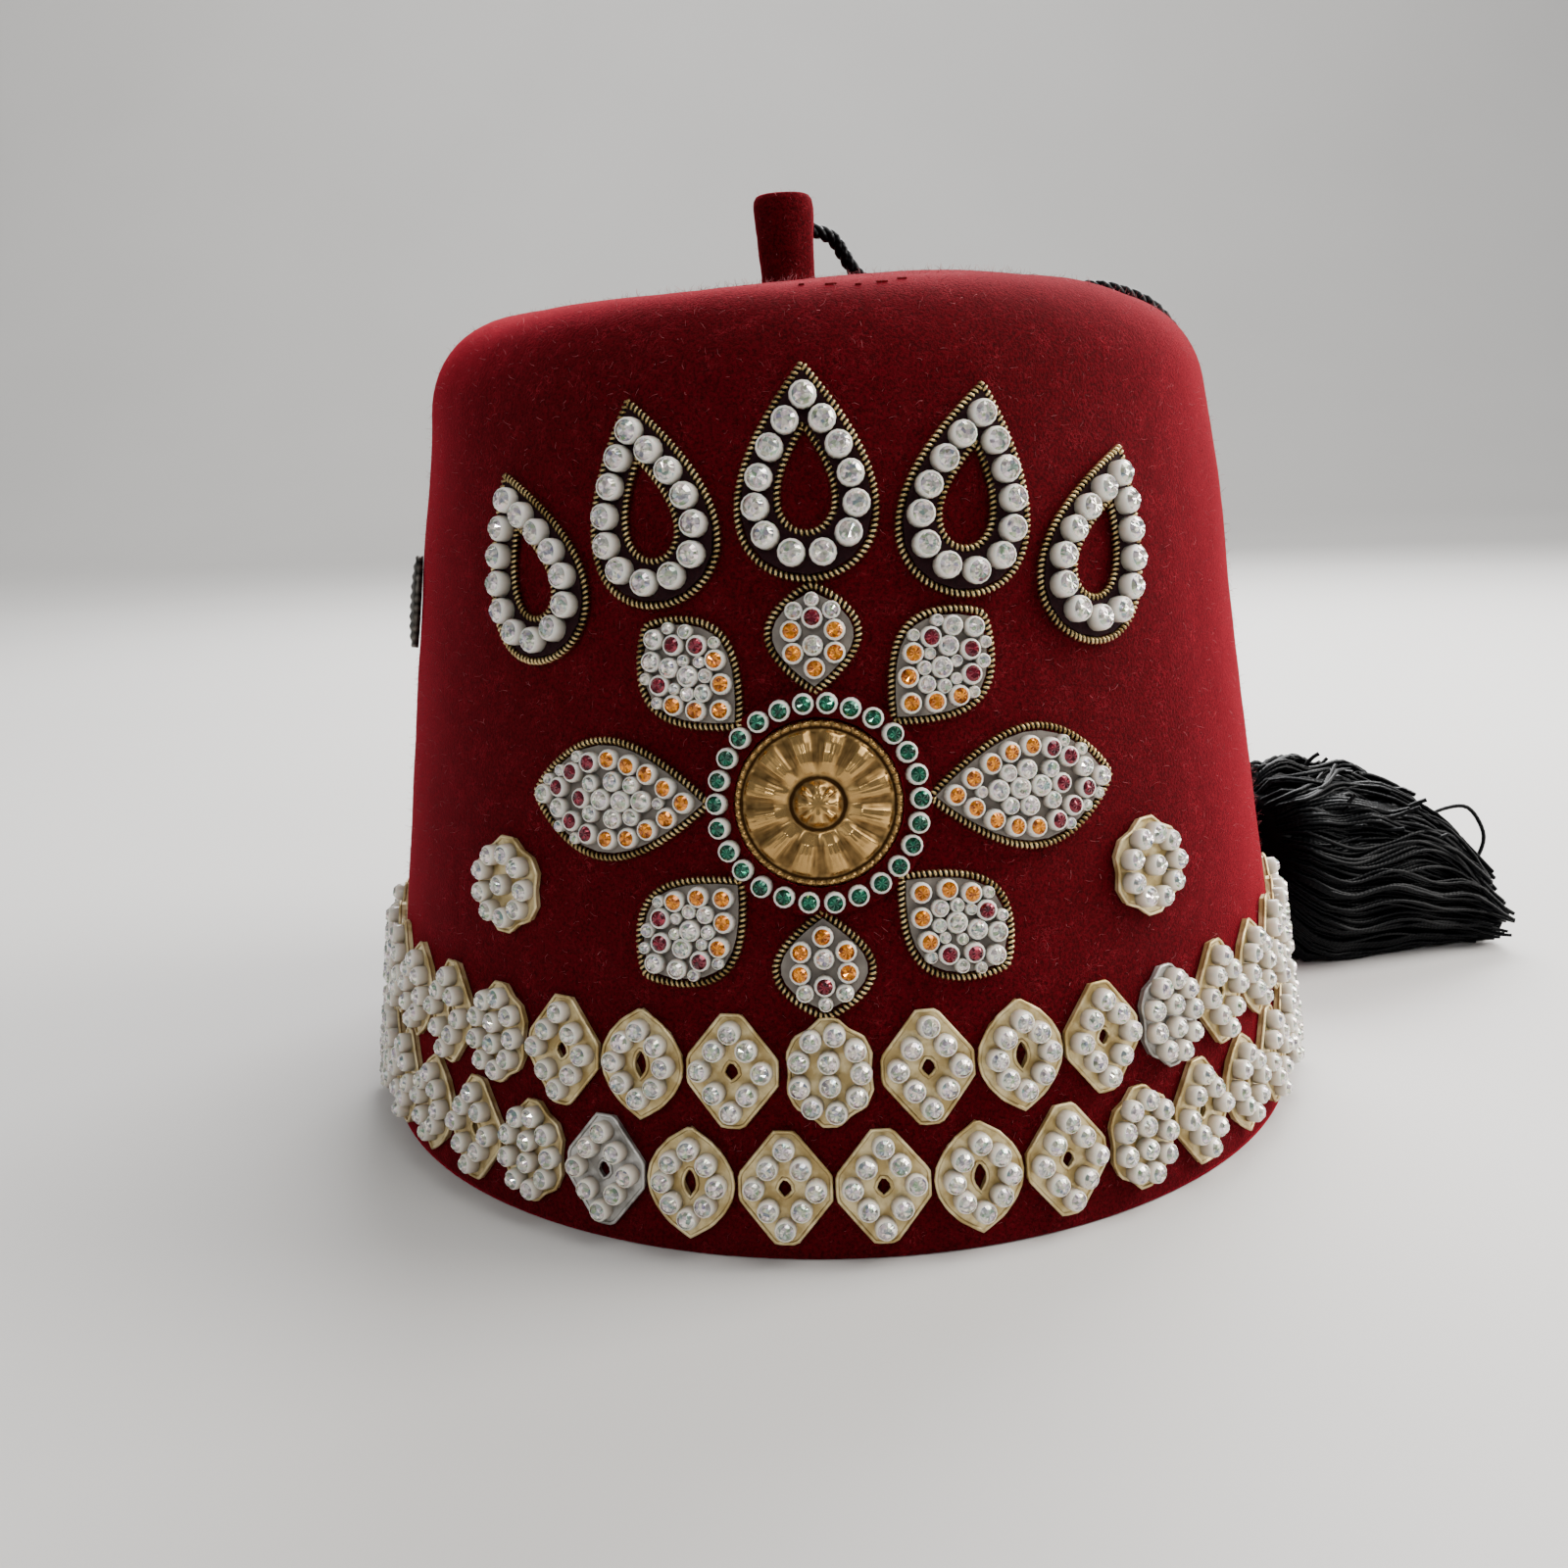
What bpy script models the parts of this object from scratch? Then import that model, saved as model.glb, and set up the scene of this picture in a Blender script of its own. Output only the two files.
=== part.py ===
"""A felt fez with a jewelled front, a felt stem, a twisted cord and a silk tassel.

Metres, +Z up. The fez stands on its rim at z = 0, centred on the Z axis, and its front faces -Y.
Angles on the crown run round from the front, positive towards +X. Heights up the crown are path
lengths, measured on the felt from the rim over the shoulder to the middle of the top.
"""

import math

import bpy
import numpy as np
from mathutils import Vector
from mathutils.geometry import delaunay_2d_cdt

# Felt crown
BASE_WIDTH = 0.1830
BASE_LENGTH = 0.1990
TOP_WIDTH = 0.1430
TOP_LENGTH = 0.1560
WALL_HEIGHT = 0.1477
SHOULDER_RADIUS = 0.0190
DOME_RISE = 0.0046
TOP_TILT = 0.012
FELT_THICKNESS = 0.0026

# Stem on the crown
STEM_DIAMETER = 0.0114
STEM_FOOT_DIAMETER = 0.0104
STEM_HEIGHT = 0.0172
STEM_X = -0.0040
STEM_Y = 0.0000
STEM_LEAN = 0.0006

# Cord and tassel
CORD_DIAMETER = 0.0030
CORD_EXIT_HEIGHT = 0.0108
CORD_EXIT_ANGLE = 127.0
TASSEL_HEAD_X = 0.0940
TASSEL_HEAD_Y = 0.0380
TASSEL_HEAD_Z = 0.0350
TASSEL_HEAD_DIAMETER = 0.0140
TASSEL_HEAD_LENGTH = 0.0170
TASSEL_HEAD_PITCH = 30.0
TASSEL_YAW = 20.0
TASSEL_LENGTH = 0.0575
TASSEL_SPREAD = 0.0530
TASSEL_HEIGHT = 0.0440
TASSEL_LOCKS = 18

# Jewel work: its centre line lies a little left of the front, measured along the felt
JEWEL_CENTRE = -0.0040
STONE_DIAMETER = 0.0032
STONE_PITCH = 0.0035
STONE_HEIGHT = 0.0026
STONE_MARGIN = 0.0005
BACKING_THICKNESS = 0.0010
MEDALLION_DIAMETER = 0.0252
MEDALLION_RISE = 0.0044
ROSETTE_HEIGHT = 0.0705
ROSETTE_WIDTH = 0.0940
ROSETTE_DEPTH = 0.0630
PETAL_WIDTH = 0.0168
PETAL_COUNT = 8
FAN_HEIGHT = 0.1195
FAN_WIDTH = 0.0960
FAN_DROP = 0.0130
LOOP_WIDTH = 0.0190
LOOP_LENGTH = 0.0300
LOOP_STROKE = 0.0046
SIDE_FLOWER_REACH = 0.0560
SIDE_FLOWER_HEIGHT = 0.0545
SIDE_FLOWER_DIAMETER = 0.0162

# Gilt plates in two rows round the front
PLATE_THICKNESS = 0.0010
TILE_WIDTH = 0.0138
TILE_DEPTH = 0.0172
TILE_PITCH = 0.0148
TILE_HOLE = 0.0032
UPPER_ROW_HEIGHT = 0.0296
UPPER_ROW_TILES = 19
LOWER_ROW_HEIGHT = 0.0118
LOWER_ROW_TILES = 18

# Pin on the left side
PIN_WIDTH = 0.0090
PIN_DEPTH = 0.0175
PIN_THICKNESS = 0.0020
PIN_ANGLE = -76.0
PIN_HEIGHT = 0.0975

# Clearance between a piece and what carries it
SEAT_GAP = 0.0003

CROWN_SEGMENTS = 44
STONE_SIDES = 8
OUTLINE_STEP = 0.0100

# The felt's hand-blocked unevenness. Path is a share of the way from rim to the top's middle,
# reach a share of the base width, and swell a share of the base width, outwards.
UNEVENNESS = (
    # angle, path, reach, swell
    (48.0, 0.80, 0.14, 0.0060),
    (64.0, 0.70, 0.11, -0.0085),
    (-18.0, 0.80, 0.13, -0.0045),
    (-70.0, 0.66, 0.07, 0.0065),
    (-72.0, 0.56, 0.07, -0.0040),
    (74.0, 0.50, 0.12, 0.0040),
)


def shoulder_path():
    """Path lengths where the wall ends, where the shoulder ends, and where the top's middle is."""
    slope = wall_slope()
    corner = WALL_HEIGHT / math.cos(slope)
    tangent = SHOULDER_RADIUS * math.tan((math.pi / 2 - slope) / 2)
    wall_end = corner - tangent
    shoulder_end = wall_end + SHOULDER_RADIUS * (math.pi / 2 - slope)
    return wall_end, shoulder_end, shoulder_end + TOP_LENGTH / 2 - tangent


def wall_slope():
    """How far the front wall leans in, in radians."""
    return math.atan2((BASE_LENGTH - TOP_LENGTH) / 2, WALL_HEIGHT)


def smooth_crown(angle, path):
    """Points on the crown's outer surface without its unevenness. Angle in radians, path in metres."""
    angle, path = np.broadcast_arrays(np.asarray(angle, float), np.asarray(path, float))
    slope = wall_slope()
    wall_end, shoulder_end, middle = shoulder_path()
    on_wall = np.clip(path, None, wall_end)
    turned = np.clip(path - wall_end, 0, shoulder_end - wall_end) / SHOULDER_RADIUS
    inwards = np.clip((path - shoulder_end) / (middle - shoulder_end), 0, 1)
    height = on_wall * math.cos(slope)
    share = height / WALL_HEIGHT
    inset = SHOULDER_RADIUS * (math.cos(slope) - np.cos(slope + turned))
    height = height + SHOULDER_RADIUS * (np.sin(slope + turned) - math.sin(slope))
    half_x = BASE_WIDTH / 2 + (TOP_WIDTH - BASE_WIDTH) / 2 * share - inset
    half_y = BASE_LENGTH / 2 + (TOP_LENGTH - BASE_LENGTH) / 2 * share - inset
    x = half_x * (1 - inwards) * np.sin(angle)
    y = -half_y * (1 - inwards) * np.cos(angle)
    dome = DOME_RISE * (1 - (1 - inwards) ** 2)
    z = height + dome + TOP_TILT * x * (height / WALL_HEIGHT) ** 4
    return np.stack([x, y, z], -1)


def smooth_normal(angle, path):
    step = 1e-4
    middle = shoulder_path()[2]
    path = np.minimum(path, middle - 2 * step)
    across = smooth_crown(angle + step, path) - smooth_crown(angle - step, path)
    up = smooth_crown(angle, path + step) - smooth_crown(angle, path - step)
    normal = np.cross(across, up)
    return normal / np.linalg.norm(normal, axis=-1, keepdims=True)


def crown_point(angle, path, out=0.0):
    """Points a distance out from the felt's uneven outer surface."""
    angle, path = np.broadcast_arrays(np.asarray(angle, float), np.asarray(path, float))
    points = smooth_crown(angle, path)
    swell = np.zeros(points.shape[:-1])
    middle = shoulder_path()[2]
    for at_angle, at_path, reach, height in UNEVENNESS:
        centre = smooth_crown(math.radians(at_angle), at_path * middle)
        away = np.linalg.norm(points - centre, axis=-1) / (reach * BASE_WIDTH)
        swell = swell + height * BASE_WIDTH * np.exp(-away * away)
    lift = np.asarray(out, float) + swell
    return points + smooth_normal(angle, path) * lift[..., None]


def angle_at_arc(arc, path):
    """The angle on the crown that lies a length of arc away from the front, at one path height."""
    angles = np.linspace(-math.pi, math.pi, 721)
    ring = smooth_crown(angles, path)
    lengths = np.concatenate([[0], np.cumsum(np.linalg.norm(np.diff(ring, axis=0), axis=1))])
    return np.interp(arc, lengths - lengths[360], angles)


def arc_at_angle(angle, path):
    """The length of arc from the front to an angle, negative to the left."""
    ring = smooth_crown(np.linspace(0, angle, 60), path)
    return math.copysign(float(np.linalg.norm(np.diff(ring, axis=0), axis=1).sum()), angle)


def on_crown(arc, path, turn=0.0):
    """A function that lays a flat motif on the felt: (x, y, out) arrays to points."""

    def lay(x, y, out):
        x, y = np.asarray(x, float), np.asarray(y, float)
        across = x * math.cos(turn) - y * math.sin(turn)
        up = x * math.sin(turn) + y * math.cos(turn)
        return crown_point(angle_at_arc(arc + across, path), path + up, out)

    return lay


def material(name, colour, roughness, metallic=0.0):
    made = bpy.data.materials.new(name)
    made.use_nodes = True
    shader = made.node_tree.nodes["Principled BSDF"]
    shader.inputs["Base Color"].default_value = (*colour, 1.0)
    shader.inputs["Roughness"].default_value = roughness
    shader.inputs["Metallic"].default_value = metallic
    return made


def make_object(name, points, faces, finish):
    mesh = bpy.data.meshes.new(name)
    mesh.from_pydata([tuple(map(float, p)) for p in points], [], faces)
    mesh.validate()
    mesh.materials.append(finish)
    mesh.shade_smooth()
    mesh.set_sharp_from_angle(angle=math.radians(40))
    made = bpy.data.objects.new(name, mesh)
    bpy.context.scene.collection.objects.link(made)
    return made


def bridge(lower, upper, closed=True):
    """Quads between two rows of vertex numbers, facing outwards when the rows run anticlockwise."""
    count = len(lower)
    last = count if closed else count - 1
    return [
        (lower[i], lower[(i + 1) % count], upper[(i + 1) % count], upper[i]) for i in range(last)
    ]


def make_crown(finish):
    """The hollow felt body: one wall, open at the rim."""
    wall_end, shoulder_end, middle = shoulder_path()
    wall_rows = np.linspace(0, wall_end, 6)
    shoulder_rows = np.linspace(wall_end, shoulder_end, 5)[1:]
    top_rows = np.linspace(shoulder_end, middle, 5)[1:-1]
    rows = np.concatenate([wall_rows, shoulder_rows, top_rows])
    angles = np.linspace(0, 2 * math.pi, CROWN_SEGMENTS, endpoint=False)
    points, outer, inner = [], [], []
    for depth, rings, places in ((0.0, outer, rows), (-FELT_THICKNESS, inner, rows[::2])):
        for path in places:
            ring = crown_point(angles, path, depth)
            if path == 0:
                ring[:, 2] = 0
            rings.append(list(range(len(points), len(points) + CROWN_SEGMENTS)))
            points.extend(ring)
        points.append(crown_point(0.0, middle, depth))
    faces = []
    for rings, flip in ((outer, False), (inner, True)):
        skin = []
        for lower, upper in zip(rings, rings[1:]):
            skin += bridge(lower, upper)
        pole = rings[-1][-1] + 1
        skin += [(a, b, pole) for a, b in zip(rings[-1], rings[-1][1:] + rings[-1][:1])]
        faces += [face[::-1] for face in skin] if flip else skin
    faces += bridge(inner[0], outer[0])
    return make_object("felt_crown", points, faces, finish)


def stem_seat():
    """Height of the felt under the stem."""
    wall_end, shoulder_end, middle = shoulder_path()
    angle = math.atan2(STEM_X, -STEM_Y)
    reach = math.hypot(STEM_X / TOP_WIDTH, STEM_Y / TOP_LENGTH) * TOP_LENGTH
    path = middle - reach
    around = np.radians(np.arange(0, 360, 30))
    foot = STEM_FOOT_DIAMETER / 2
    heights = crown_point(angle, path)[2] + TOP_TILT * foot * np.cos(around)
    return float(heights.max())


def stem_ring(share, diameter):
    """Centre of the stem at a share of its height, and its radius there."""
    centre = Vector((STEM_X - STEM_LEAN * share, STEM_Y, stem_seat() + SEAT_GAP + STEM_HEIGHT * share))
    return centre, diameter / 2


def make_stem(finish):
    """The felt stalk: a little thicker at its rounded top."""
    sides = 20
    profile = (
        # share of height, diameter
        (0.00, STEM_FOOT_DIAMETER),
        (0.50, (STEM_FOOT_DIAMETER + STEM_DIAMETER) / 2),
        (0.90, STEM_DIAMETER),
        (0.97, STEM_DIAMETER * 0.90),
        (1.00, STEM_DIAMETER * 0.68),
    )
    points, rings = [], []
    for share, diameter in profile:
        centre, radius = stem_ring(share, diameter)
        rings.append(list(range(len(points), len(points) + sides)))
        for i in range(sides):
            turn = 2 * math.pi * i / sides
            points.append(centre + Vector((math.cos(turn), math.sin(turn), 0)) * radius)
    faces = [tuple(reversed(rings[0])), tuple(rings[-1])]
    for lower, upper in zip(rings, rings[1:]):
        faces += bridge(lower, upper)
    return make_object("stem", points, faces, finish)


def catmull_rom(route, step):
    """A smooth curve through the route's points, read every step of length."""
    ends = [2 * route[0] - route[1], *route, 2 * route[-1] - route[-2]]
    dense = []
    for a, b, c, d in zip(ends, ends[1:], ends[2:], ends[3:]):
        for t in np.linspace(0, 1, 24, endpoint=False):
            square = 2 * a - 5 * b + 4 * c - d
            cube = 3 * b - a - 3 * c + d
            dense.append(0.5 * (2 * b + (c - a) * t + square * t**2 + cube * t**3))
    dense = np.array([*dense, route[-1]])
    length = np.concatenate([[0], np.cumsum(np.linalg.norm(np.diff(dense, axis=0), axis=1))])
    count = max(2, round(length[-1] / step) + 1)
    places = np.linspace(0, length[-1], count)
    return np.stack([np.interp(places, length, dense[:, k]) for k in range(3)], 1)


def tassel_axes():
    """Directions along the tassel's skirt, to its side, and along its head, which slopes down."""
    yaw, pitch = math.radians(TASSEL_YAW), math.radians(TASSEL_HEAD_PITCH)
    along = np.array([math.cos(yaw), math.sin(yaw), 0.0])
    side = np.array([-math.sin(yaw), math.cos(yaw), 0.0])
    return along, side, along * math.cos(pitch) - np.array([0, 0, math.sin(pitch)])


def tassel_head_centre():
    return np.array([TASSEL_HEAD_X, TASSEL_HEAD_Y, TASSEL_HEAD_Z])


def cord_route():
    """The cord's own points: out of the stem, over the top and the shoulder, down the wall to the tassel."""
    radius = CORD_DIAMETER / 2
    rest = radius + SEAT_GAP + 0.0003
    turn = math.radians(CORD_EXIT_ANGLE)
    outwards = np.array([math.sin(turn), -math.cos(turn), 0.0])
    centre, stem_radius = stem_ring(CORD_EXIT_HEIGHT / STEM_HEIGHT, STEM_DIAMETER)
    exit_point = np.array(centre) + outwards * (stem_radius + SEAT_GAP)
    seat = stem_seat()
    middle = shoulder_path()[2]
    drop = exit_point[2] - (seat + rest)
    route = []
    for reach, fall in (
        # distance out from the stem, share of the drop to the felt
        (0.0000, 0.00),
        (0.0020, 0.01),
        (0.0060, 0.15),
        (0.0088, 0.50),
        (0.0117, 0.85),
        (0.0158, 1.00),
    ):
        route.append(exit_point + outwards * reach - np.array([0, 0, drop * fall]))
    for angle, path in (
        # degrees round the crown, share of the path from rim to the middle of the top
        (118, 0.855),
        (107.5, 0.822),
        (99.5, 0.780),
        (95.0, 0.736),
        (93.0, 0.700),
        (92.5, 0.660),
        (93.3, 0.610),
        (95.2, 0.550),
        (98.4, 0.470),
        (102.2, 0.390),
        (105.6, 0.320),
        (108.8, 0.262),
        (110.6, 0.222),
    ):
        route.append(crown_point(math.radians(angle), path * middle, rest))
    rear = tassel_head_centre() - tassel_axes()[2] * (TASSEL_HEAD_LENGTH / 2 + SEAT_GAP)
    for behind, above in (
        # distances behind and above the rear of the tassel's head, in line with it
        (0.0055, 0.0016),
        (0.0022, 0.0),
        (0.0, 0.0),
    ):
        route.append(rear - tassel_axes()[2] * behind + np.array([0, 0, above]))
    return route


def make_cord(finish):
    points = catmull_rom(cord_route(), 2.2 * CORD_DIAMETER)
    curve = bpy.data.curves.new("tassel_cord", "CURVE")
    curve.dimensions = "3D"
    spline = curve.splines.new("POLY")
    spline.points.add(len(points) - 1)
    for point, place in zip(spline.points, points):
        point.co = (*place, 1)
    curve.bevel_depth = CORD_DIAMETER / 2
    curve.bevel_resolution = 2
    curve.use_fill_caps = True
    curve.materials.append(finish)
    made = bpy.data.objects.new("tassel_cord", curve)
    bpy.context.scene.collection.objects.link(made)
    return made


# The tassel's skirt, station by station from where it bulges over the head to the ends of the strands.
# Along is a share of its length, from the head's end, drift and width are shares of its spread, and top
# and bottom are shares of its height. A bottom below 0 is flattened on the surface.
SKIRT = (
    # along, drift, width, top, bottom
    (-0.09, 0.00, 0.42, 0.92, 0.30),
    (-0.03, -0.01, 0.72, 0.98, 0.04),
    (0.05, 0.00, 0.90, 1.00, -0.10),
    (0.16, 0.01, 0.98, 1.00, -0.16),
    (0.32, 0.02, 1.00, 0.99, -0.18),
    (0.50, 0.02, 1.02, 0.93, -0.18),
    (0.69, -0.01, 0.97, 0.81, -0.17),
    (0.80, -0.04, 0.92, 0.68, -0.16),
    (0.90, -0.08, 0.82, 0.50, -0.13),
    (1.00, -0.12, 0.66, 0.36, -0.08),
)


def skirt_ring(station, start, slimmer=1.0):
    """One lobed section of the skirt, a lock to each lobe."""
    share, drift, width, top, bottom = station
    along, side, _ = tassel_axes()
    centre = start + along * (share * TASSEL_LENGTH) + side * (drift * TASSEL_SPREAD)
    middle = (top + bottom) / 2 * TASSEL_HEIGHT
    half_width = width / 2 * TASSEL_SPREAD * slimmer
    half_height = (top - bottom) / 2 * TASSEL_HEIGHT * slimmer
    corners = 2 * TASSEL_LOCKS
    ring = []
    for i in range(corners):
        turn = 2 * math.pi * i / corners
        lobe = 1.0 + 0.03 * share if i % 2 else 0.985 - 0.10 * share
        end = along * (0.04 * TASSEL_LENGTH * math.sin(2.3 * i) * max(0.0, share) ** 6)
        place = centre + side * (half_width * math.cos(turn) * lobe) + end
        ring.append((place[0], place[1], max(0.0, middle + half_height * math.sin(turn) * lobe)))
    return ring


def head_ring(share, thickness):
    """One round section of the head."""
    _, side, axis = tassel_axes()
    above = np.cross(axis, side)
    radius = TASSEL_HEAD_DIAMETER / 2 * thickness
    centre = tassel_head_centre() + axis * (share * TASSEL_HEAD_LENGTH)
    turns = [2 * math.pi * i / (2 * TASSEL_LOCKS) for i in range(2 * TASSEL_LOCKS)]
    return [centre + radius * (side * math.cos(turn) + above * math.sin(turn)) for turn in turns]


def make_tassel(finish):
    """A covered head and a skirt of silk, parted into locks, which spills out on the surface."""
    start = tassel_head_centre() + tassel_axes()[2] * (TASSEL_HEAD_LENGTH / 2)
    head = ((-0.50, 0.50), (-0.38, 0.80), (-0.12, 1.0))
    sections = [head_ring(share, thickness) for share, thickness in head]
    sections += [skirt_ring(station, start) for station in SKIRT]
    sections.append(skirt_ring((SKIRT[-1][0] - 0.10, *SKIRT[-1][1:]), start, 0.45))
    points, rings = [], []
    for section in sections:
        rings.append(list(range(len(points), len(points) + len(section))))
        points.extend(section)
    faces = [tuple(reversed(rings[0])), tuple(rings[-1])]
    for lower, upper in zip(rings, rings[1:]):
        faces += bridge(lower, upper)
    return make_object("tassel", points, faces, finish)


def subdivided(outline, step):
    """The outline with extra points, so that no side is longer than step."""
    made = []
    for a, b in zip(outline, [*outline[1:], outline[0]]):
        pieces = max(1, math.ceil(math.dist(a, b) / step))
        shares = [k / pieces for k in range(pieces)]
        made += [(a[0] + (b[0] - a[0]) * share, a[1] + (b[1] - a[1]) * share) for share in shares]
    return made


def filled(loops, inner_points):
    """Triangles over the first loop, each with the set of loops that it lies in."""
    verts, faces = [], []
    for loop in loops:
        faces.append(list(range(len(verts), len(verts) + len(loop))))
        verts += [Vector(p) for p in loop]
    verts += [Vector(p) for p in inner_points]
    out = delaunay_2d_cdt(verts, [], faces, 1, 1e-7)
    owners = [set(o) for o in out[5]]
    return [tuple(v) for v in out[0]], out[2], owners


def inside(point, outline):
    x, y = point
    hits = 0
    for (x0, y0), (x1, y1) in zip(outline, [*outline[1:], outline[0]]):
        if (y0 > y) != (y1 > y) and x < x0 + (y - y0) * (x1 - x0) / (y1 - y0):
            hits += 1
    return hits % 2 == 1


def clearance(point, outline):
    """Distance from a point to the outline."""
    best = math.inf
    p = Vector(point)
    for a, b in zip(outline, [*outline[1:], outline[0]]):
        a, b = Vector(a), Vector(b)
        along = b - a
        t = max(0.0, min(1.0, (p - a).dot(along) / max(along.length_squared, 1e-18)))
        best = min(best, (p - a - along * t).length)
    return best


def stone_outline(x, y):
    """The girdle of one stone."""
    turns = [2 * math.pi * (k + 0.5) / STONE_SIDES for k in range(STONE_SIDES)]
    return [(x + STONE_DIAMETER / 2 * math.cos(t), y + STONE_DIAMETER / 2 * math.sin(t)) for t in turns]


def grid_points(outline, holes, stones):
    """Points inside a motif that let its wide faces bend with the felt."""
    xs, ys = zip(*outline)
    made = []
    for x in np.arange(min(xs) + OUTLINE_STEP, max(xs), OUTLINE_STEP):
        for y in np.arange(min(ys) + OUTLINE_STEP, max(ys), OUTLINE_STEP):
            point = (float(x), float(y))
            solid = inside(point, outline) and not any(inside(point, hole) for hole in holes)
            free = all(math.dist(point, stone) > 0.7 * STONE_DIAMETER for stone in stones)
            room = min(clearance(point, loop) for loop in [outline, *holes])
            if solid and free and room > OUTLINE_STEP / 4:
                made.append(point)
    return made


def make_backing(name, outline, holes, stones, thickness, lay, finish):
    """A flat motif laid on the felt: its backing, pierced by holes, and its stones fused on.

    Each stone rises from the backing in STONE_SIDES facets to a flat table.
    """
    outline = subdivided(outline, OUTLINE_STEP)
    holes = [subdivided(hole, OUTLINE_STEP) for hole in holes]
    girdles = [stone_outline(*stone) for stone in stones]
    points, faces, numbers = [], [], {}

    def number(x, y, out):
        key = (round(x, 7), round(y, 7), round(out, 7))
        if key not in numbers:
            numbers[key] = len(points)
            points.append(lay(x, y, out))
        return numbers[key]

    bottom, top, table = SEAT_GAP, SEAT_GAP + thickness, SEAT_GAP + STONE_HEIGHT
    pierced = set(range(1, 1 + len(holes)))
    flat, triangles, owners = filled([outline, *holes, *girdles], grid_points(outline, holes, stones))
    for face, owner in zip(triangles, owners):
        if owner == {0}:
            faces.append([number(*flat[i], top) for i in face])
    flat, triangles, owners = filled([outline, *holes], grid_points(outline, holes, []))
    for face, owner in zip(triangles, owners):
        if not owner & pierced:
            faces.append([number(*flat[i], bottom) for i in reversed(face)])
    for loop, is_hole in [(outline, False), *((hole, True) for hole in holes)]:
        low = [number(x, y, bottom) for x, y in loop]
        high = [number(x, y, top) for x, y in loop]
        walls = bridge(low, high)
        faces += [wall[::-1] for wall in walls] if is_hole else walls
    for (x, y), girdle in zip(stones, girdles):
        low = [number(a, b, top) for a, b in girdle]
        high = [number(x + (a - x) * 0.66, y + (b - y) * 0.66, table) for a, b in girdle]
        faces += bridge(low, high)
        faces.append(high)
    return make_object(name, points, faces, finish)


def leaf(length, width, count, start=0.0):
    """A pointed petal along +Y from start, widest past its middle."""
    half = []
    for k in range(1, count):
        v = k / count
        half.append((width / 2 * math.sin(math.pi * v**1.15) ** 0.80, start + length * v))
    right = [(0.0, start), *half, (0.0, start + length)]
    return right + [(-x, y) for x, y in reversed(half)]


def spaced(outline, pitch):
    """Points along a closed outline at an even pitch near the one asked for."""
    loop = np.array([*outline, outline[0]])
    length = np.concatenate([[0], np.cumsum(np.hypot(*np.diff(loop, axis=0).T))])
    count = max(3, int(length[-1] / pitch))
    places = np.arange(count) * length[-1] / count
    across, up = (np.interp(places, length, loop[:, axis]).tolist() for axis in (0, 1))
    return list(zip(across, up))


def fitting(stones, outline):
    """The stones that clear the edge and each stone before them."""
    kept = []
    for stone in stones:
        apart = all(math.dist(stone, other) > STONE_DIAMETER * 1.02 for other in kept)
        if apart and inside(stone, outline) and clearance(stone, outline) > STONE_DIAMETER * 0.51:
            kept.append(stone)
    return kept


def turned_outline(outline, turn):
    c, s = math.cos(turn), math.sin(turn)
    return [(x * c - y * s, x * s + y * c) for x, y in outline]


def circle(radius, count):
    turns = [2 * math.pi * k / count for k in range(count)]
    return [(radius * math.cos(turn), radius * math.sin(turn)) for turn in turns]


def ring_inner():
    return MEDALLION_DIAMETER / 2 + SEAT_GAP


def ring_outer():
    return ring_inner() + STONE_DIAMETER + 2 * STONE_MARGIN


def petal_reach(turn):
    """How far the petals reach from the rosette's middle, in the direction of turn from straight up."""
    return 1 / math.hypot(math.sin(turn) / (ROSETTE_WIDTH / 2), math.cos(turn) / (ROSETTE_DEPTH / 2))


def petal_stones(length, width, start):
    """A border of stones inside a petal's edge, and a row down its middle."""
    margin = STONE_DIAMETER / 2 + STONE_MARGIN
    border = leaf(length - 3.2 * margin, width - 2 * margin, 10, start + 1.3 * margin)
    rows = int(length / STONE_PITCH)
    heart = [(0.0, start + length / 2 + (k - (rows - 1) / 2) * STONE_PITCH) for k in range(rows)]
    return fitting(spaced(border, STONE_PITCH) + heart, leaf(length, width, 10, start))


def make_rosette(ring_finish, petal_finish):
    """Petals of stones round a ring of stones; a shorter petal is also slimmer."""
    lay = on_crown(JEWEL_CENTRE, ROSETTE_HEIGHT)
    middle = (ring_inner() + ring_outer()) / 2
    stones = circle(middle, int(2 * math.pi * middle / STONE_PITCH))
    edge, hole = circle(ring_outer(), 36), circle(ring_inner(), 24)
    make_backing("stone_ring", edge, [hole], stones, BACKING_THICKNESS, lay, ring_finish)
    start = ring_outer() + SEAT_GAP
    longest = petal_reach(math.pi / 2) - start
    for k in range(PETAL_COUNT):
        turn = 2 * math.pi * k / PETAL_COUNT
        length = petal_reach(turn) - start
        width = PETAL_WIDTH * (length / longest) ** 0.4
        outline = turned_outline(leaf(length, width, 10, start), -turn)
        stones = turned_outline(petal_stones(length, width, start), -turn)
        make_backing(f"petal_{k + 1}", outline, [], stones, BACKING_THICKNESS, lay, petal_finish)


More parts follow.
